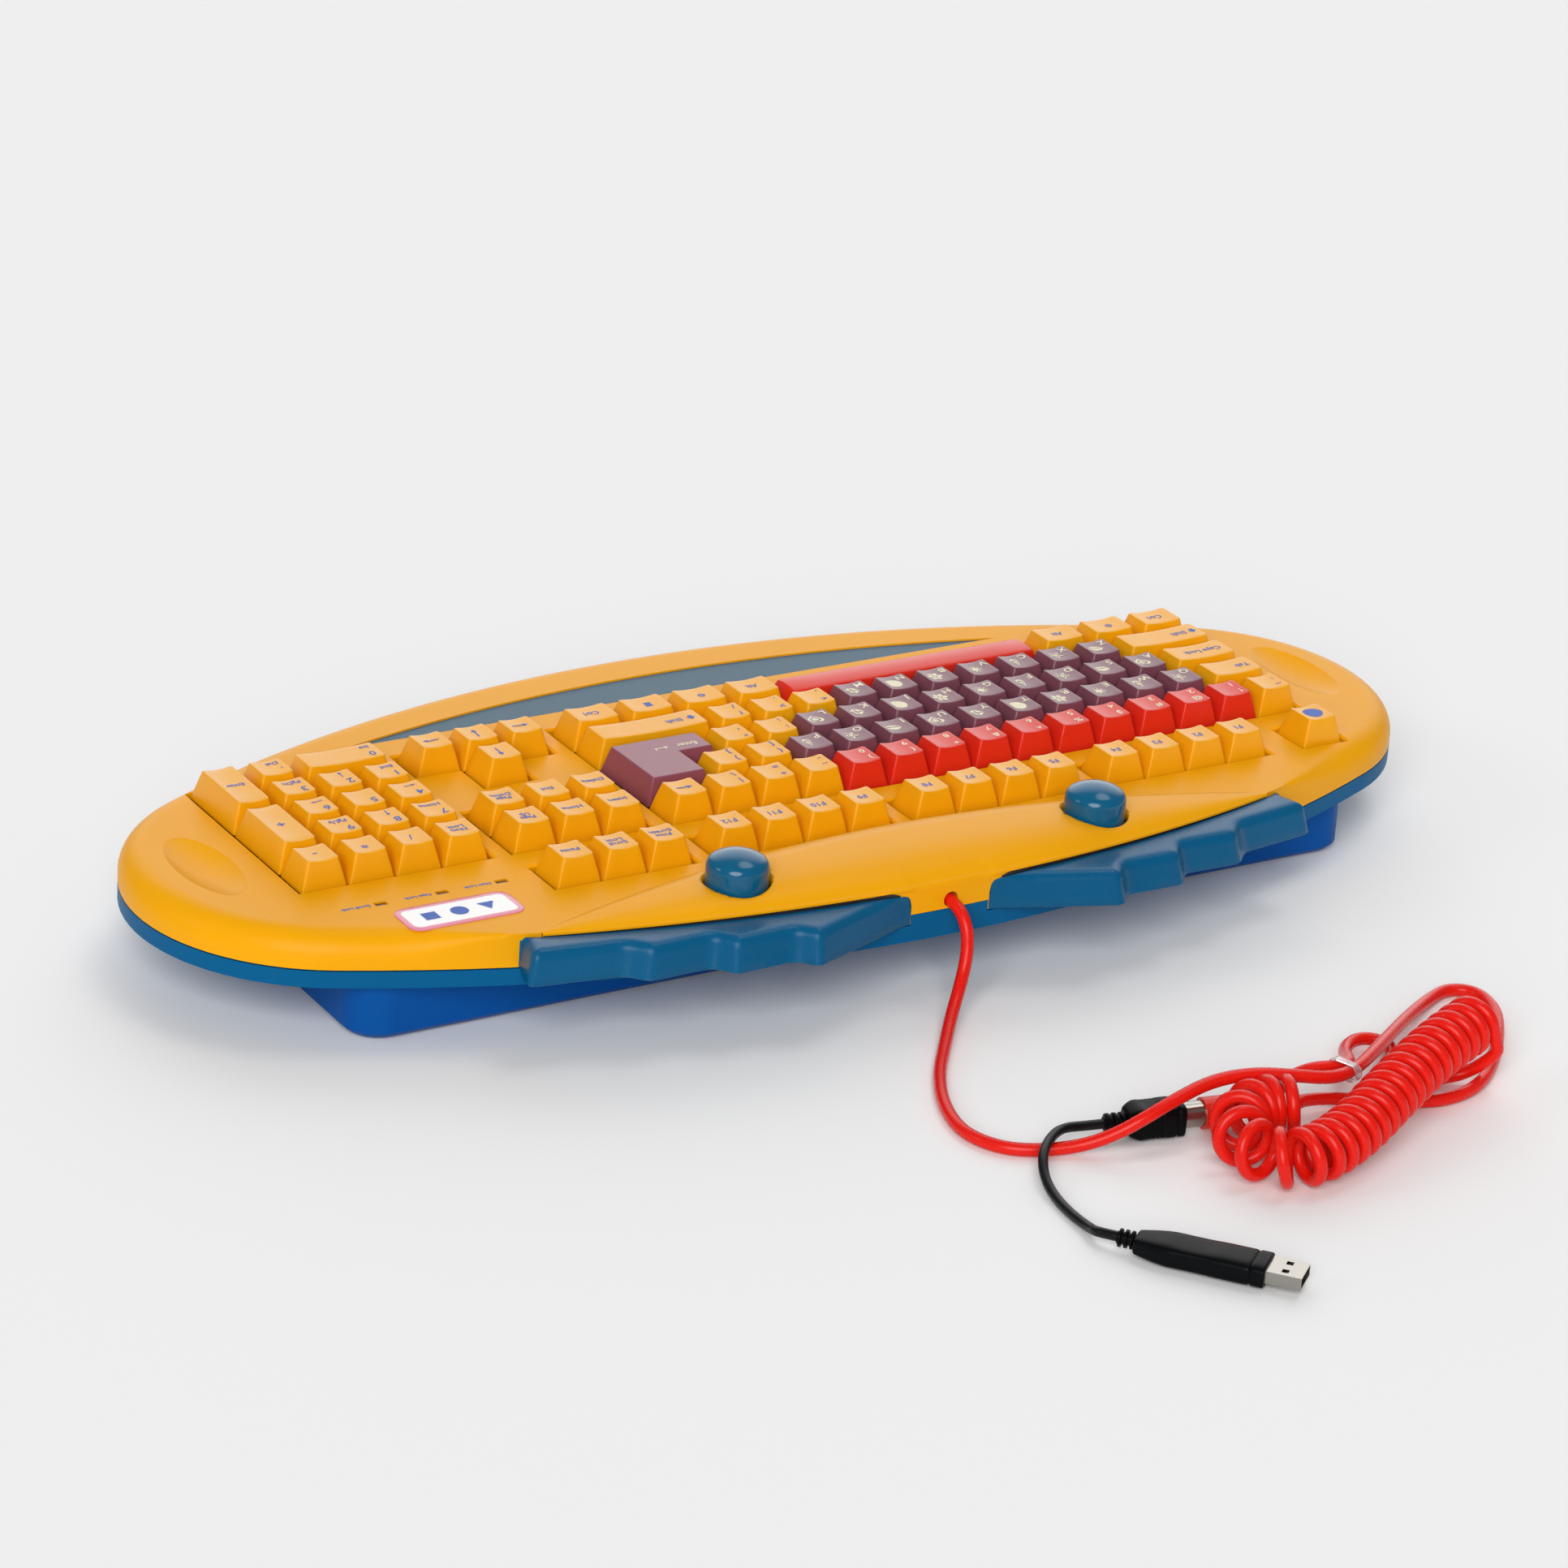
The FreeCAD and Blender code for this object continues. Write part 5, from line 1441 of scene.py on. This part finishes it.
@dataclass
class Badge:
    """A plain plate on the deck: a white face with a pink border and three simple shapes."""

    x: float = 175.4
    y: float = 61.6
    deck_z: float = CaseOutline.deck_z
    length: float = 46.0
    width: float = 19.0
    corner: float = 5.0
    rim: float = 2.2
    rise: float = 0.5
    sunk: float = 0.05
    face_drop: float = 0.1
    pitch: float = 11.5
    shape_size: float = 3.4
    ring_points: int = 64
    shapes: tuple[Motif, ...] = (Motif.TRIANGLE, Motif.DISC, Motif.SQUARE)

    def ring(self, inset: float, z: float) -> np.ndarray:
        """A rounded rectangle: each corner is a quarter circle about its own centre.

        Args:
            inset: Distance by which it is drawn in.
            z: Its height.

        Returns:
            Points of the ring.
        """
        turn = full_turn(self.ring_points) + math.pi / self.ring_points
        straight = np.array([self.length / 2.0 - self.corner, self.width / 2.0 - self.corner])
        corners = np.sign(polar(1.0, turn)) * straight
        return level(corners + polar(self.corner - inset, turn), self.x, self.y, z)

    def build(self) -> None:
        """Build the border, the face and the printed shapes."""
        low = self.deck_z - self.sunk
        top = self.deck_z + self.rise
        face_z = top - self.face_drop
        steps = ((0.0, low), (0.0, top - 0.2), (0.3, top), (self.rim, top), (self.rim, low), (0.0, low))
        border = np.array([self.ring(inset, z) for inset, z in steps])
        add_solid("badge_rim", [border], BADGE_PINK, CASE, capped=False)
        face = np.array([self.ring(self.rim, z) for z in (low, face_z)])
        add_solid("badge_face", [face], BADGE_WHITE, CASE)
        prints = []
        for i, motif in enumerate(self.shapes):
            flat, faces = filled(motif.outline() * self.shape_size)
            prints.append((level(flat, self.x + (i - 1) * self.pitch, self.y, face_z + PRINT_LIFT), faces))
        add_prints("badge_shapes", prints, INK_BLUE, CASE)


@dataclass
class LampLabels:
    """Printed names beside the three lock lamps."""

    lamps: tuple[tuple[str, float], ...] = (
        ("Num Lock", 149.5), ("Caps Lock", 173.5), ("Scroll Lock", 198.0))
    y: float = 44.5
    z: float = CaseOutline.deck_z + 0.06
    gap: float = 4.2
    size: float = 1.8

    def build(self) -> None:
        """Lay the words flat on the deck, to the user's right of each lamp."""
        press = TextPress()
        prints = []
        for text, x in self.lamps:
            flat, faces = press.press(Mark(text, size=self.size))
            prints.append((level(flat, x + self.gap, self.y, self.z), faces))
        press.close()
        add_prints("lamp_labels", prints, INK_BLUE, CASE)


def spline_curve(name: str, points: np.ndarray, diameter: float) -> bpy.types.Curve:
    """A round cord on one smooth open spline.

    Args:
        name: Name of the curve.
        points: Control points in millimetres.
        diameter: Thickness of the cord in millimetres, or nothing for a bare line.

    Returns:
        The curve.
    """
    curve = bpy.data.curves.new(name, "CURVE")
    curve.dimensions = "3D"
    curve.resolution_u = 6
    curve.bevel_depth = diameter / 2.0 * MM
    curve.bevel_resolution = 3
    curve.use_fill_caps = True
    spline = curve.splines.new("NURBS")
    spline.points.add(len(points) - 1)
    weighted = np.column_stack([points * MM, np.ones(len(points))])
    spline.points.foreach_set("co", weighted.ravel())
    spline.order_u = 3
    spline.use_endpoint_u = True
    return curve


def line_points(points: np.ndarray) -> np.ndarray:
    """Read the smooth spline that has some control points.

    Args:
        points: Control points in millimetres.

    Returns:
        Points along the spline, in millimetres.
    """
    curve = spline_curve("guide_line", points, 0.0)
    guide = new_object("guide_line", curve)
    mesh = evaluated_mesh(guide)
    found = mesh_points(mesh)
    bpy.data.meshes.remove(mesh)
    bpy.data.objects.remove(guide)
    bpy.data.curves.remove(curve)
    return found


@dataclass
class RedCord:
    """The keyboard's own cord: lead, curls and tail on one spline.

    Attributes:
        stretches: Length along the axis and number of curls of each stretch. The last takes what is left.
        lead: Control points from the case to the curls.
        curl_axis: Control points of the line that the curls go round.
        tail: Control points from the curls to the plug.
    """

    diameter: float = 4.8
    length: float = 2.1
    curl_r: float = 8.6
    points_per_turn: int = 16
    start_angle: float = 180.0
    axis_window: float = 2.0
    stretches: tuple[tuple[float, float], ...] = ((17.0, 2.75), (46.0, 4.75), (0.0, 17.25))
    plug_reach: float = 45.0
    plug_straight: float = 8.0
    lead: tuple[Point, ...] = (
        (0.0, 103.5, 37.2), (0.0, 116.0, 37.2), (-0.2, 124.0, 31.5), (0.6, 126.8, 22.0), (5.0, 130.5, 12.5),
        (15.0, 140.5, 5.2), (27.5, 156.0, 2.4), (42.0, 175.0, 2.4), (53.5, 197.0, 2.4), (58.0, 217.0, 2.4),
        (51.5, 232.5, 2.4), (38.0, 239.6, 2.4), (25.5, 244.5, 4.2), (16.4, 249.5, 9.0), (7.0, 252.4, 14.5),
        (-6.0, 251.4, 18.6), (-23.0, 249.0, 21.3), (-39.0, 251.6, 22.0), (-53.0, 257.6, 20.8),
        (-66.0, 260.5, 18.5), (-80.0, 255.5, 16.6), (-97.0, 243.0, 14.0), (-116.0, 228.0, 10.5),
        (-137.0, 211.0, 5.8), (-157.0, 197.0, 2.5), (-171.0, 191.0, 2.4), (-180.0, 197.5, 2.4),
        (-178.0, 212.0, 2.4), (-166.5, 229.0, 2.4), (-149.0, 248.5, 2.4), (-131.0, 262.5, 2.4),
        (-113.0, 266.0, 2.4), (-97.0, 259.5, 2.4), (-84.0, 252.5, 2.8), (-71.0, 248.5, 4.2),
        (-59.5, 249.5, 5.6),
    )
    curl_axis: tuple[Point, ...] = (
        (-46.7, 266.0, 14.8), (-40.5, 262.4, 14.8), (-33.0, 261.2, 14.7), (-22.0, 265.6, 14.1),
        (-16.0, 277.5, 12.6), (-18.5, 290.3, 11.6), (-30.0, 296.0, 11.2), (-46.5, 291.8, 11.6),
        (-64.0, 284.2, 13.6), (-86.0, 272.6, 17.3), (-107.0, 263.0, 20.8), (-124.5, 255.8, 22.5),
        (-134.0, 252.4, 23.1),
    )
    tail: tuple[Point, ...] = (
        (-132.5, 253.5, 3.8), (-124.0, 250.8, 2.4), (-115.0, 249.5, 2.4), (-110.0, 242.5, 2.4),
        (-115.5, 232.5, 2.4), (-120.5, 226.0, 2.6), (-121.5, 219.5, 3.2), (-116.0, 215.0, 4.0),
        (-108.5, 216.0, 4.4), (-101.0, 222.0, 5.0), (-95.0, 231.5, 8.0), (-88.0, 242.0, 12.5),
        (-77.0, 251.3, 16.8), (-65.5, 248.0, 17.0), (-55.5, 245.5, 12.5),
    )

    def helix(self) -> tuple[np.ndarray, np.ndarray, np.ndarray]:
        """Points of the curls about their axis.

        A point stands off the axis by the curl radius, in a direction that turns steadily from up towards
        the side as the axis is followed, at the rate of each stretch.

        Returns:
            The points, and the directions in which the curls start and end.
        """
        axis = line_points(np.array(self.curl_axis))
        spans = [span for span, _ in self.stretches[:-1]]
        spans.append(path_reach(axis)[-1] - sum(spans))
        turns = [count for _, count in self.stretches]
        turn = np.linspace(0.0, sum(turns), int(sum(turns) * self.points_per_turn) + 1)
        along = np.interp(turn, np.cumsum([0.0] + turns), np.cumsum([0.0] + spans))
        tangent = unit(at_reach(axis, along + self.axis_window) - at_reach(axis, along - self.axis_window))
        up = unit(np.array([0.0, 0.0, 1.0]) - tangent * tangent[:, 2:])
        side = np.cross(tangent, up)
        angle = (math.radians(self.start_angle) + 2.0 * math.pi * turn)[:, None]
        points = at_reach(axis, along) + self.curl_r * (up * np.cos(angle) + side * np.sin(angle))
        return points, unit(points[1] - points[0]), unit(points[-1] - points[-2])

    def build(self, pieces: Sequence[bpy.types.Object]) -> None:
        """Args:
            pieces: Pieces on the cord; not used.
        """
        curls, leave, arrive = self.helix()
        along = unit(SOCKET_ALONG)
        end = np.array(SOCKET_START) + along * self.plug_reach
        straight = self.diameter
        route = np.concatenate([
            np.array(self.lead), [curls[0] - leave * 3.0 * straight, curls[0] - leave * straight], curls,
            [curls[-1] + arrive * straight, curls[-1] + arrive * 2.0 * straight], np.array(self.tail),
            [end + along * self.plug_straight, end]])
        curve = spline_curve("red_cord", route, self.diameter)
        replaced = ["cord_lead", "cord_curl", "cord_tail"]
        cord = add_piece("red_cord", curve, CORD_RED, CASE, replaced)


@dataclass
class BlackLead:
    """The adapter's short lead."""

    diameter: float = 3.6
    length: float = 0.1
    straight: float = 7.0
    socket_end: Point = (13.84, 237.4, 6.6)
    usb_end: Point = (54.06, 306.06, 5.0)
    route: tuple[Point, ...] = (
        (30.0, 235.0, 7.3), (40.0, 241.9, 7.8), (47.3, 249.6, 7.0), (52.0, 258.4, 3.8), (54.4, 268.8, 1.9),
        (56.2, 282.0, 1.9), (56.6, 294.2, 2.6),
    )

    def build(self, pieces: Sequence[bpy.types.Object]) -> None:
        """Args:
            pieces: Pieces on the lead; not used.
        """
        out = np.array(self.socket_end) - np.array(SOCKET_ALONG) * self.straight
        back = np.array(self.usb_end) - np.array(USB_ALONG) * self.straight
        points = np.concatenate([[self.socket_end, out], np.array(self.route), [back, self.usb_end]])
        curve = spline_curve("black_lead", points, self.diameter)
        lead = add_piece("black_lead", curve, CORD_BLACK, CASE, ["adapter_lead"])


@dataclass
class CordTie:
    """A clear strap round two strands of the cord."""

    centre: Point = (-76.3, 254.2, 17.0)
    along: Point = (0.95, 0.3, 0.05)
    inner: tuple[float, float] = (11.6, 5.4)
    thickness: float = 0.7
    width: float = 3.0

    def build(self) -> bpy.types.Object:
        """Carry a thin strip round a capsule that encloses the strands.

        Returns:
            The strap.
        """
        axis = unit(self.along)
        across = unit(np.cross([0.0, 0.0, 1.0], axis))
        up = np.cross(axis, across)
        turn = full_turn(40)
        straight = np.sign(np.round(np.cos(turn), 6)) * (self.inner[0] - self.inner[1]) / 2.0
        rows = []
        for grow, shift in ((0.0, -0.5), (1.0, -0.5), (1.0, 0.5), (0.0, 0.5), (0.0, -0.5)):
            radius = self.inner[1] / 2.0 + grow * self.thickness
            flat = straight + radius * np.cos(turn)
            tall = radius * np.sin(turn)
            middle = np.array(self.centre) + axis * shift * self.width
            rows.append(middle + flat[:, None] * across + tall[:, None] * up)
        return add_solid(
            "clear_strap", [np.array(rows)], FILM_CLEAR, CASE, ["cord_tie"], capped=False)


@dataclass
class AdapterPlug:
    """A moulded plug body of the adapter on its own axis, with a ribbed sleeve behind it.

    Attributes:
        name: Name of the piece.
        node: Node that it stands for.
        start: Middle of the tail, where the sleeve ends.
        along: Way that the plug points.
        taper: Length over which the body widens from its tail.
        collar: Distance of the collar's groove from the front.
        drop: Distance of the body's axis below the start.
        squareness: Power of the superellipse.
        ridges: Places of the finger ridges, as shares of the length.
    """

    name: str
    node: str
    start: Point
    along: Point
    length: float
    width: float
    height: float
    tail_width: float
    tail_height: float
    taper: float
    collar: float
    sleeve: float
    sleeve_r: float
    drop: float = 0.0
    squareness: float = 4.0
    ridges: tuple[float, ...] = ()
    tail_round: float = 0.8
    nose_round: float = 0.6
    ridge: float = 0.45
    hollow: float = 0.35
    hollow_at: float = 0.45
    hollow_reach: float = 0.16
    rib_count: float = 3.0
    rib_share: float = 0.32

    def place(self, s: np.ndarray, flat: np.ndarray, tall: np.ndarray, drop: float) -> np.ndarray:
        """Points of sections along the plug.

        Args:
            s: Distance of each section from the start.
            flat: Distance across the plug, by section and place.
            tall: Distance up, by section and place.
            drop: Distance of the axis below the start.

        Returns:
            The points by section and place.
        """
        along = unit(self.along)
        across = np.cross([0.0, 0.0, 1.0], along)
        up = np.cross(along, across)
        centre = np.array(self.start) - np.array([0.0, 0.0, drop])
        return centre + s[:, None, None] * along + flat[:, :, None] * across + tall[:, :, None] * up

    def body(self) -> np.ndarray:
        """Rounded box sections that widen from the tail and step in at the collar.

        A section is a superellipse. Its half sides grow along the taper as a sine, and close with a quarter
        circle at each end. A shallow hollow for the finger lies on both broad sides, and ridges across the
        narrow sides are bell curves along the plug.

        Returns:
            Points by section and by place round it.
        """
        bend = np.linspace(0.0, RIGHT_ANGLE, 6)
        nose = self.length - self.nose_round
        s = np.concatenate([
            self.tail_round * (1.0 - np.cos(bend)), np.linspace(1.2, self.length - 1.0, 90),
            nose + self.nose_round * np.sin(np.linspace(0.0, RIGHT_ANGLE, 5))])
        grow = np.sin(np.clip(s / self.taper, 0.0, 1.0) * RIGHT_ANGLE)
        near = 1.0 - np.clip(s / self.tail_round, 0.0, 1.0)
        far = np.clip((s - nose) / self.nose_round, 0.0, 1.0)
        edge = self.tail_round * (np.sqrt(1.0 - near ** 2) - 1.0)
        edge += self.nose_round * (np.sqrt(1.0 - far ** 2) - 1.0)
        edge -= self.ridge * np.exp(-((s - self.length + self.collar) / self.ridge) ** 2)
        half_w = ((self.tail_width + (self.width - self.tail_width) * grow) / 2.0 + edge)[:, None]
        half_h = ((self.tail_height + (self.height - self.tail_height) * grow) / 2.0 + edge)[:, None]
        turn = full_turn(56)
        wide = np.abs(np.cos(turn))
        high = np.abs(np.sin(turn))
        flat = np.sign(np.cos(turn)) * wide ** (2.0 / self.squareness)
        tall = np.sign(np.sin(turn)) * high ** (2.0 / self.squareness)
        from_hollow = (s / self.length - self.hollow_at) / self.hollow_reach
        finger = self.hollow * np.exp(-from_hollow ** 4)[:, None]
        places = self.length * np.array(self.ridges)
        ridge = self.ridge * np.exp(-((s[:, None] - places) / self.ridge) ** 2).sum(axis=1)[:, None]
        spread = (half_w + ridge * wide ** 3 - finger * wide ** 2) * flat
        return self.place(s, spread, (half_h - finger * high ** 2) * tall, self.drop)

    def ribs(self) -> np.ndarray:
        """The sleeve: a round profile whose radius swings between core and rib as a clipped cosine.

        Returns:
            Points by section and by place round it.
        """
        s = np.linspace(-self.sleeve, 0.6, 61)
        phase = 2.0 * math.pi * self.rib_count * (s + self.sleeve) / self.sleeve + math.pi
        wave = np.clip(1.6 * np.cos(phase) + 0.5, 0.0, 1.0)
        radius = (self.sleeve_r * (1.0 - self.rib_share + self.rib_share * wave))[:, None]
        turn = full_turn(32)
        return self.place(s, radius * np.cos(turn), radius * np.sin(turn), self.drop / 2.0)

    def build(self) -> bpy.types.Object:
        """Build body and sleeve as one piece.

        Returns:
            The plug body.
        """
        return add_solid(
            self.name, [self.body(), self.ribs()], PLUG_BLACK, CASE, [self.node], 50.0)


class Carried:
    """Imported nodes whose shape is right, which only take a finish."""

    finishes: dict[str, Finish] = {
        "top_shell": CASE_YELLOW,
        "bottom_shell": BASE_BLUE,
        "palm_panel": PANEL_GREY_BLUE,
        "button_pads": RUBBER,
        "lock_lamps": LAMP_CLEAR,
        "key_frame": INNER_DARK_AND_SHADE,
        "dome_sheet": SILICONE,
        "membrane": FILM_CLEAR,
        "backing_plate": STEEL,
        "controller_board": BOARD_GREEN,
        "case_screws": STEEL,
        "rubber_feet": RUBBER,
        "cord_clamp": INNER_DARK_AND_SHADE,
        "plug_grip": KEY_RED,
        "plug_barrel": NICKEL,
        "usb_shell": NICKEL,
    }

    def dress(self) -> None:
        """Give each node its finish."""
        for name, finish in self.finishes.items():
            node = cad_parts[name]
            node.data.materials.clear()
            node.data.materials.append(finish.material())
            LOG.info("node %s in %s", name, finish.name)


@dataclass
class Studio:
    """Camera, floor and soft light.

    Attributes:
        eye: Place of the camera.
        right: Direction of the picture's right edge.
        down: Direction of its lower edge.
        look: Direction that the camera looks.
        focal_px: Focal length in pixels of the photograph.
        image_px: Width of the photograph.
        lamps: Name, direction, width in degrees and strength of each lamp.
        backdrop: Direction of the bright part of the surroundings.
        glow_from: Cosines to that direction between which the surroundings brighten.
        glow_to: Strength away from it and in the middle of it.
    """

    eye: Point = (1001.878, 1585.968, 843.095)
    right: Point = (-0.8580, 0.5103, 0.0582)
    down: Point = (0.156, 0.367, -0.917)
    look: Point = (-0.4893, -0.7777, -0.3945)
    focal_px: float = 6609.11
    image_px: float = 1932.0
    sensor_mm: float = 36.0
    far_clip: float = 50.0
    floor_colour: str = "#F7F7F7"
    floor_reach: float = 8.0
    floor_z: float = -0.0002
    lamps: tuple[tuple[str, Point, float, float], ...] = (
        ("overhead_box", (-0.35, -0.1, 0.95), 24.0, 0.38),
        ("side_box", (0.85, -0.3, 0.45), 18.0, 0.20),
        ("camera_box", (0.65, 0.85, 0.62), 40.0, 2.30),
    )
    backdrop: Point = (-0.5, -0.8, 0.45)
    glow_from: tuple[float, float] = (0.75, 0.97)
    glow_to: tuple[float, float] = (0.22, 2.0)

    def camera(self) -> None:
        """Stand the camera where the photograph was taken."""
        data = bpy.data.cameras.new("photo_camera")
        data.sensor_width = self.sensor_mm
        data.lens = self.sensor_mm * self.focal_px / self.image_px
        data.clip_end = self.far_clip
        camera = new_object("photo_camera", data)
        columns = np.column_stack([self.right, -np.array(self.down), -np.array(self.look)])
        turn = Matrix(columns.tolist()).to_4x4()
        camera.matrix_world = Matrix.Translation(Vector(self.eye) * MM) @ turn
        bpy.context.scene.camera = camera

    def sun(self, name: str, towards: Point, spread: float, strength: float) -> None:
        """Hang a wide soft source far away, so that it lights the whole floor evenly.

        Args:
            name: Name of the lamp.
            towards: Direction from the object to the lamp.
            spread: Width of the source in degrees.
            strength: Irradiance in watts per square metre.
        """
        data = bpy.data.lights.new(name, "SUN")
        data.angle = math.radians(spread)
        data.energy = strength
        new_object(name, data).rotation_euler = Vector(towards).to_track_quat("Z", "Y").to_euler()

    def floor(self) -> None:
        """Lay a plain pale floor."""
        mesh = bpy.data.meshes.new("floor")
        far = self.floor_reach
        corners = [(-far, -far, 0.0), (far, -far, 0.0), (far, far, 0.0), (-far, far, 0.0)]
        mesh.from_pydata(corners, [], [(0, 1, 2, 3)])
        floor = new_object("floor", mesh)
        floor.location.z = self.floor_z
        material = bpy.data.materials.new("painted floor")
        tree = empty_tree(material)
        shader = add_node(tree, "ShaderNodeBsdfDiffuse", {"Color": linear(self.floor_colour)}, {})
        add_node(tree, "ShaderNodeOutputMaterial", {}, {"Surface": shader.outputs["BSDF"]})
        mesh.materials.append(material)

    def surroundings(self) -> None:
        """Light the world softly, brighter towards the backdrop."""
        world = bpy.data.worlds.new("studio")
        tree = empty_tree(world)
        way = add_node(tree, "ShaderNodeTexCoord", {}, {}).outputs["Generated"]
        facing = add_node(
            tree, "ShaderNodeVectorMath", {"operation": "DOT_PRODUCT", 1: Vector(self.backdrop).normalized()},
            {0: way})
        glow = add_node(
            tree, "ShaderNodeMapRange",
            {"interpolation_type": "SMOOTHSTEP", "From Min": self.glow_from[0], "From Max": self.glow_from[1],
             "To Min": self.glow_to[0], "To Max": self.glow_to[1]},
            {"Value": facing.outputs["Value"]})
        sky = add_node(
            tree, "ShaderNodeBackground", {"Color": linear("#FFFFFF")}, {"Strength": glow.outputs["Result"]})
        add_node(tree, "ShaderNodeOutputWorld", {}, {"Surface": sky.outputs["Background"]})
        bpy.context.scene.world = world

    def build(self) -> None:
        """Set up the camera, floor, lamps and world."""
        self.camera()
        self.floor()
        for lamp in self.lamps:
            self.sun(*lamp)
        self.surroundings()
        bpy.context.scene.view_settings.view_transform = "Standard"


def main() -> None:
    """Build the pieces in order."""
    Studio().build()
    outline = CaseOutline()
    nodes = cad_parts
    strap = CordTie().build()
    socket = AdapterPlug(
        "socket_body", "adapter_socket", SOCKET_START, SOCKET_ALONG, length=21.0, width=12.6, height=12.0,
        tail_width=9.0, tail_height=8.0, taper=5.0, collar=3.0, sleeve=8.0, sleeve_r=3.6, squareness=5.0,
        ridges=(0.36, 0.44, 0.52, 0.6)).build()
    usb = AdapterPlug(
        "usb_plug_body", "usb_body", USB_START, USB_ALONG, length=46.0, width=15.6, height=8.4,
        tail_width=9.5, tail_height=6.0, taper=16.0, collar=5.0, sleeve=6.4, sleeve_r=3.2, drop=0.5).build()
    RedCord().build([nodes["plug_grip"], nodes["plug_barrel"], socket, strap])
    BlackLead().build([usb, nodes["usb_shell"]])
    Carried().dress()
    KeyField().build()
    cowl = Cowl(outline)
    cowl.build()
    for side, name in ((1, "right"), (-1, "left")):
        HandGrip(side, name, outline, cowl).build()
        ShadeStrip(side, name, outline, cowl).build()
        EdgeBlend(side, name, outline).build()
        DomeButton(side, name).build()
    Badge().build()
    LampLabels().build()


if __name__ == "__main__":
    main()
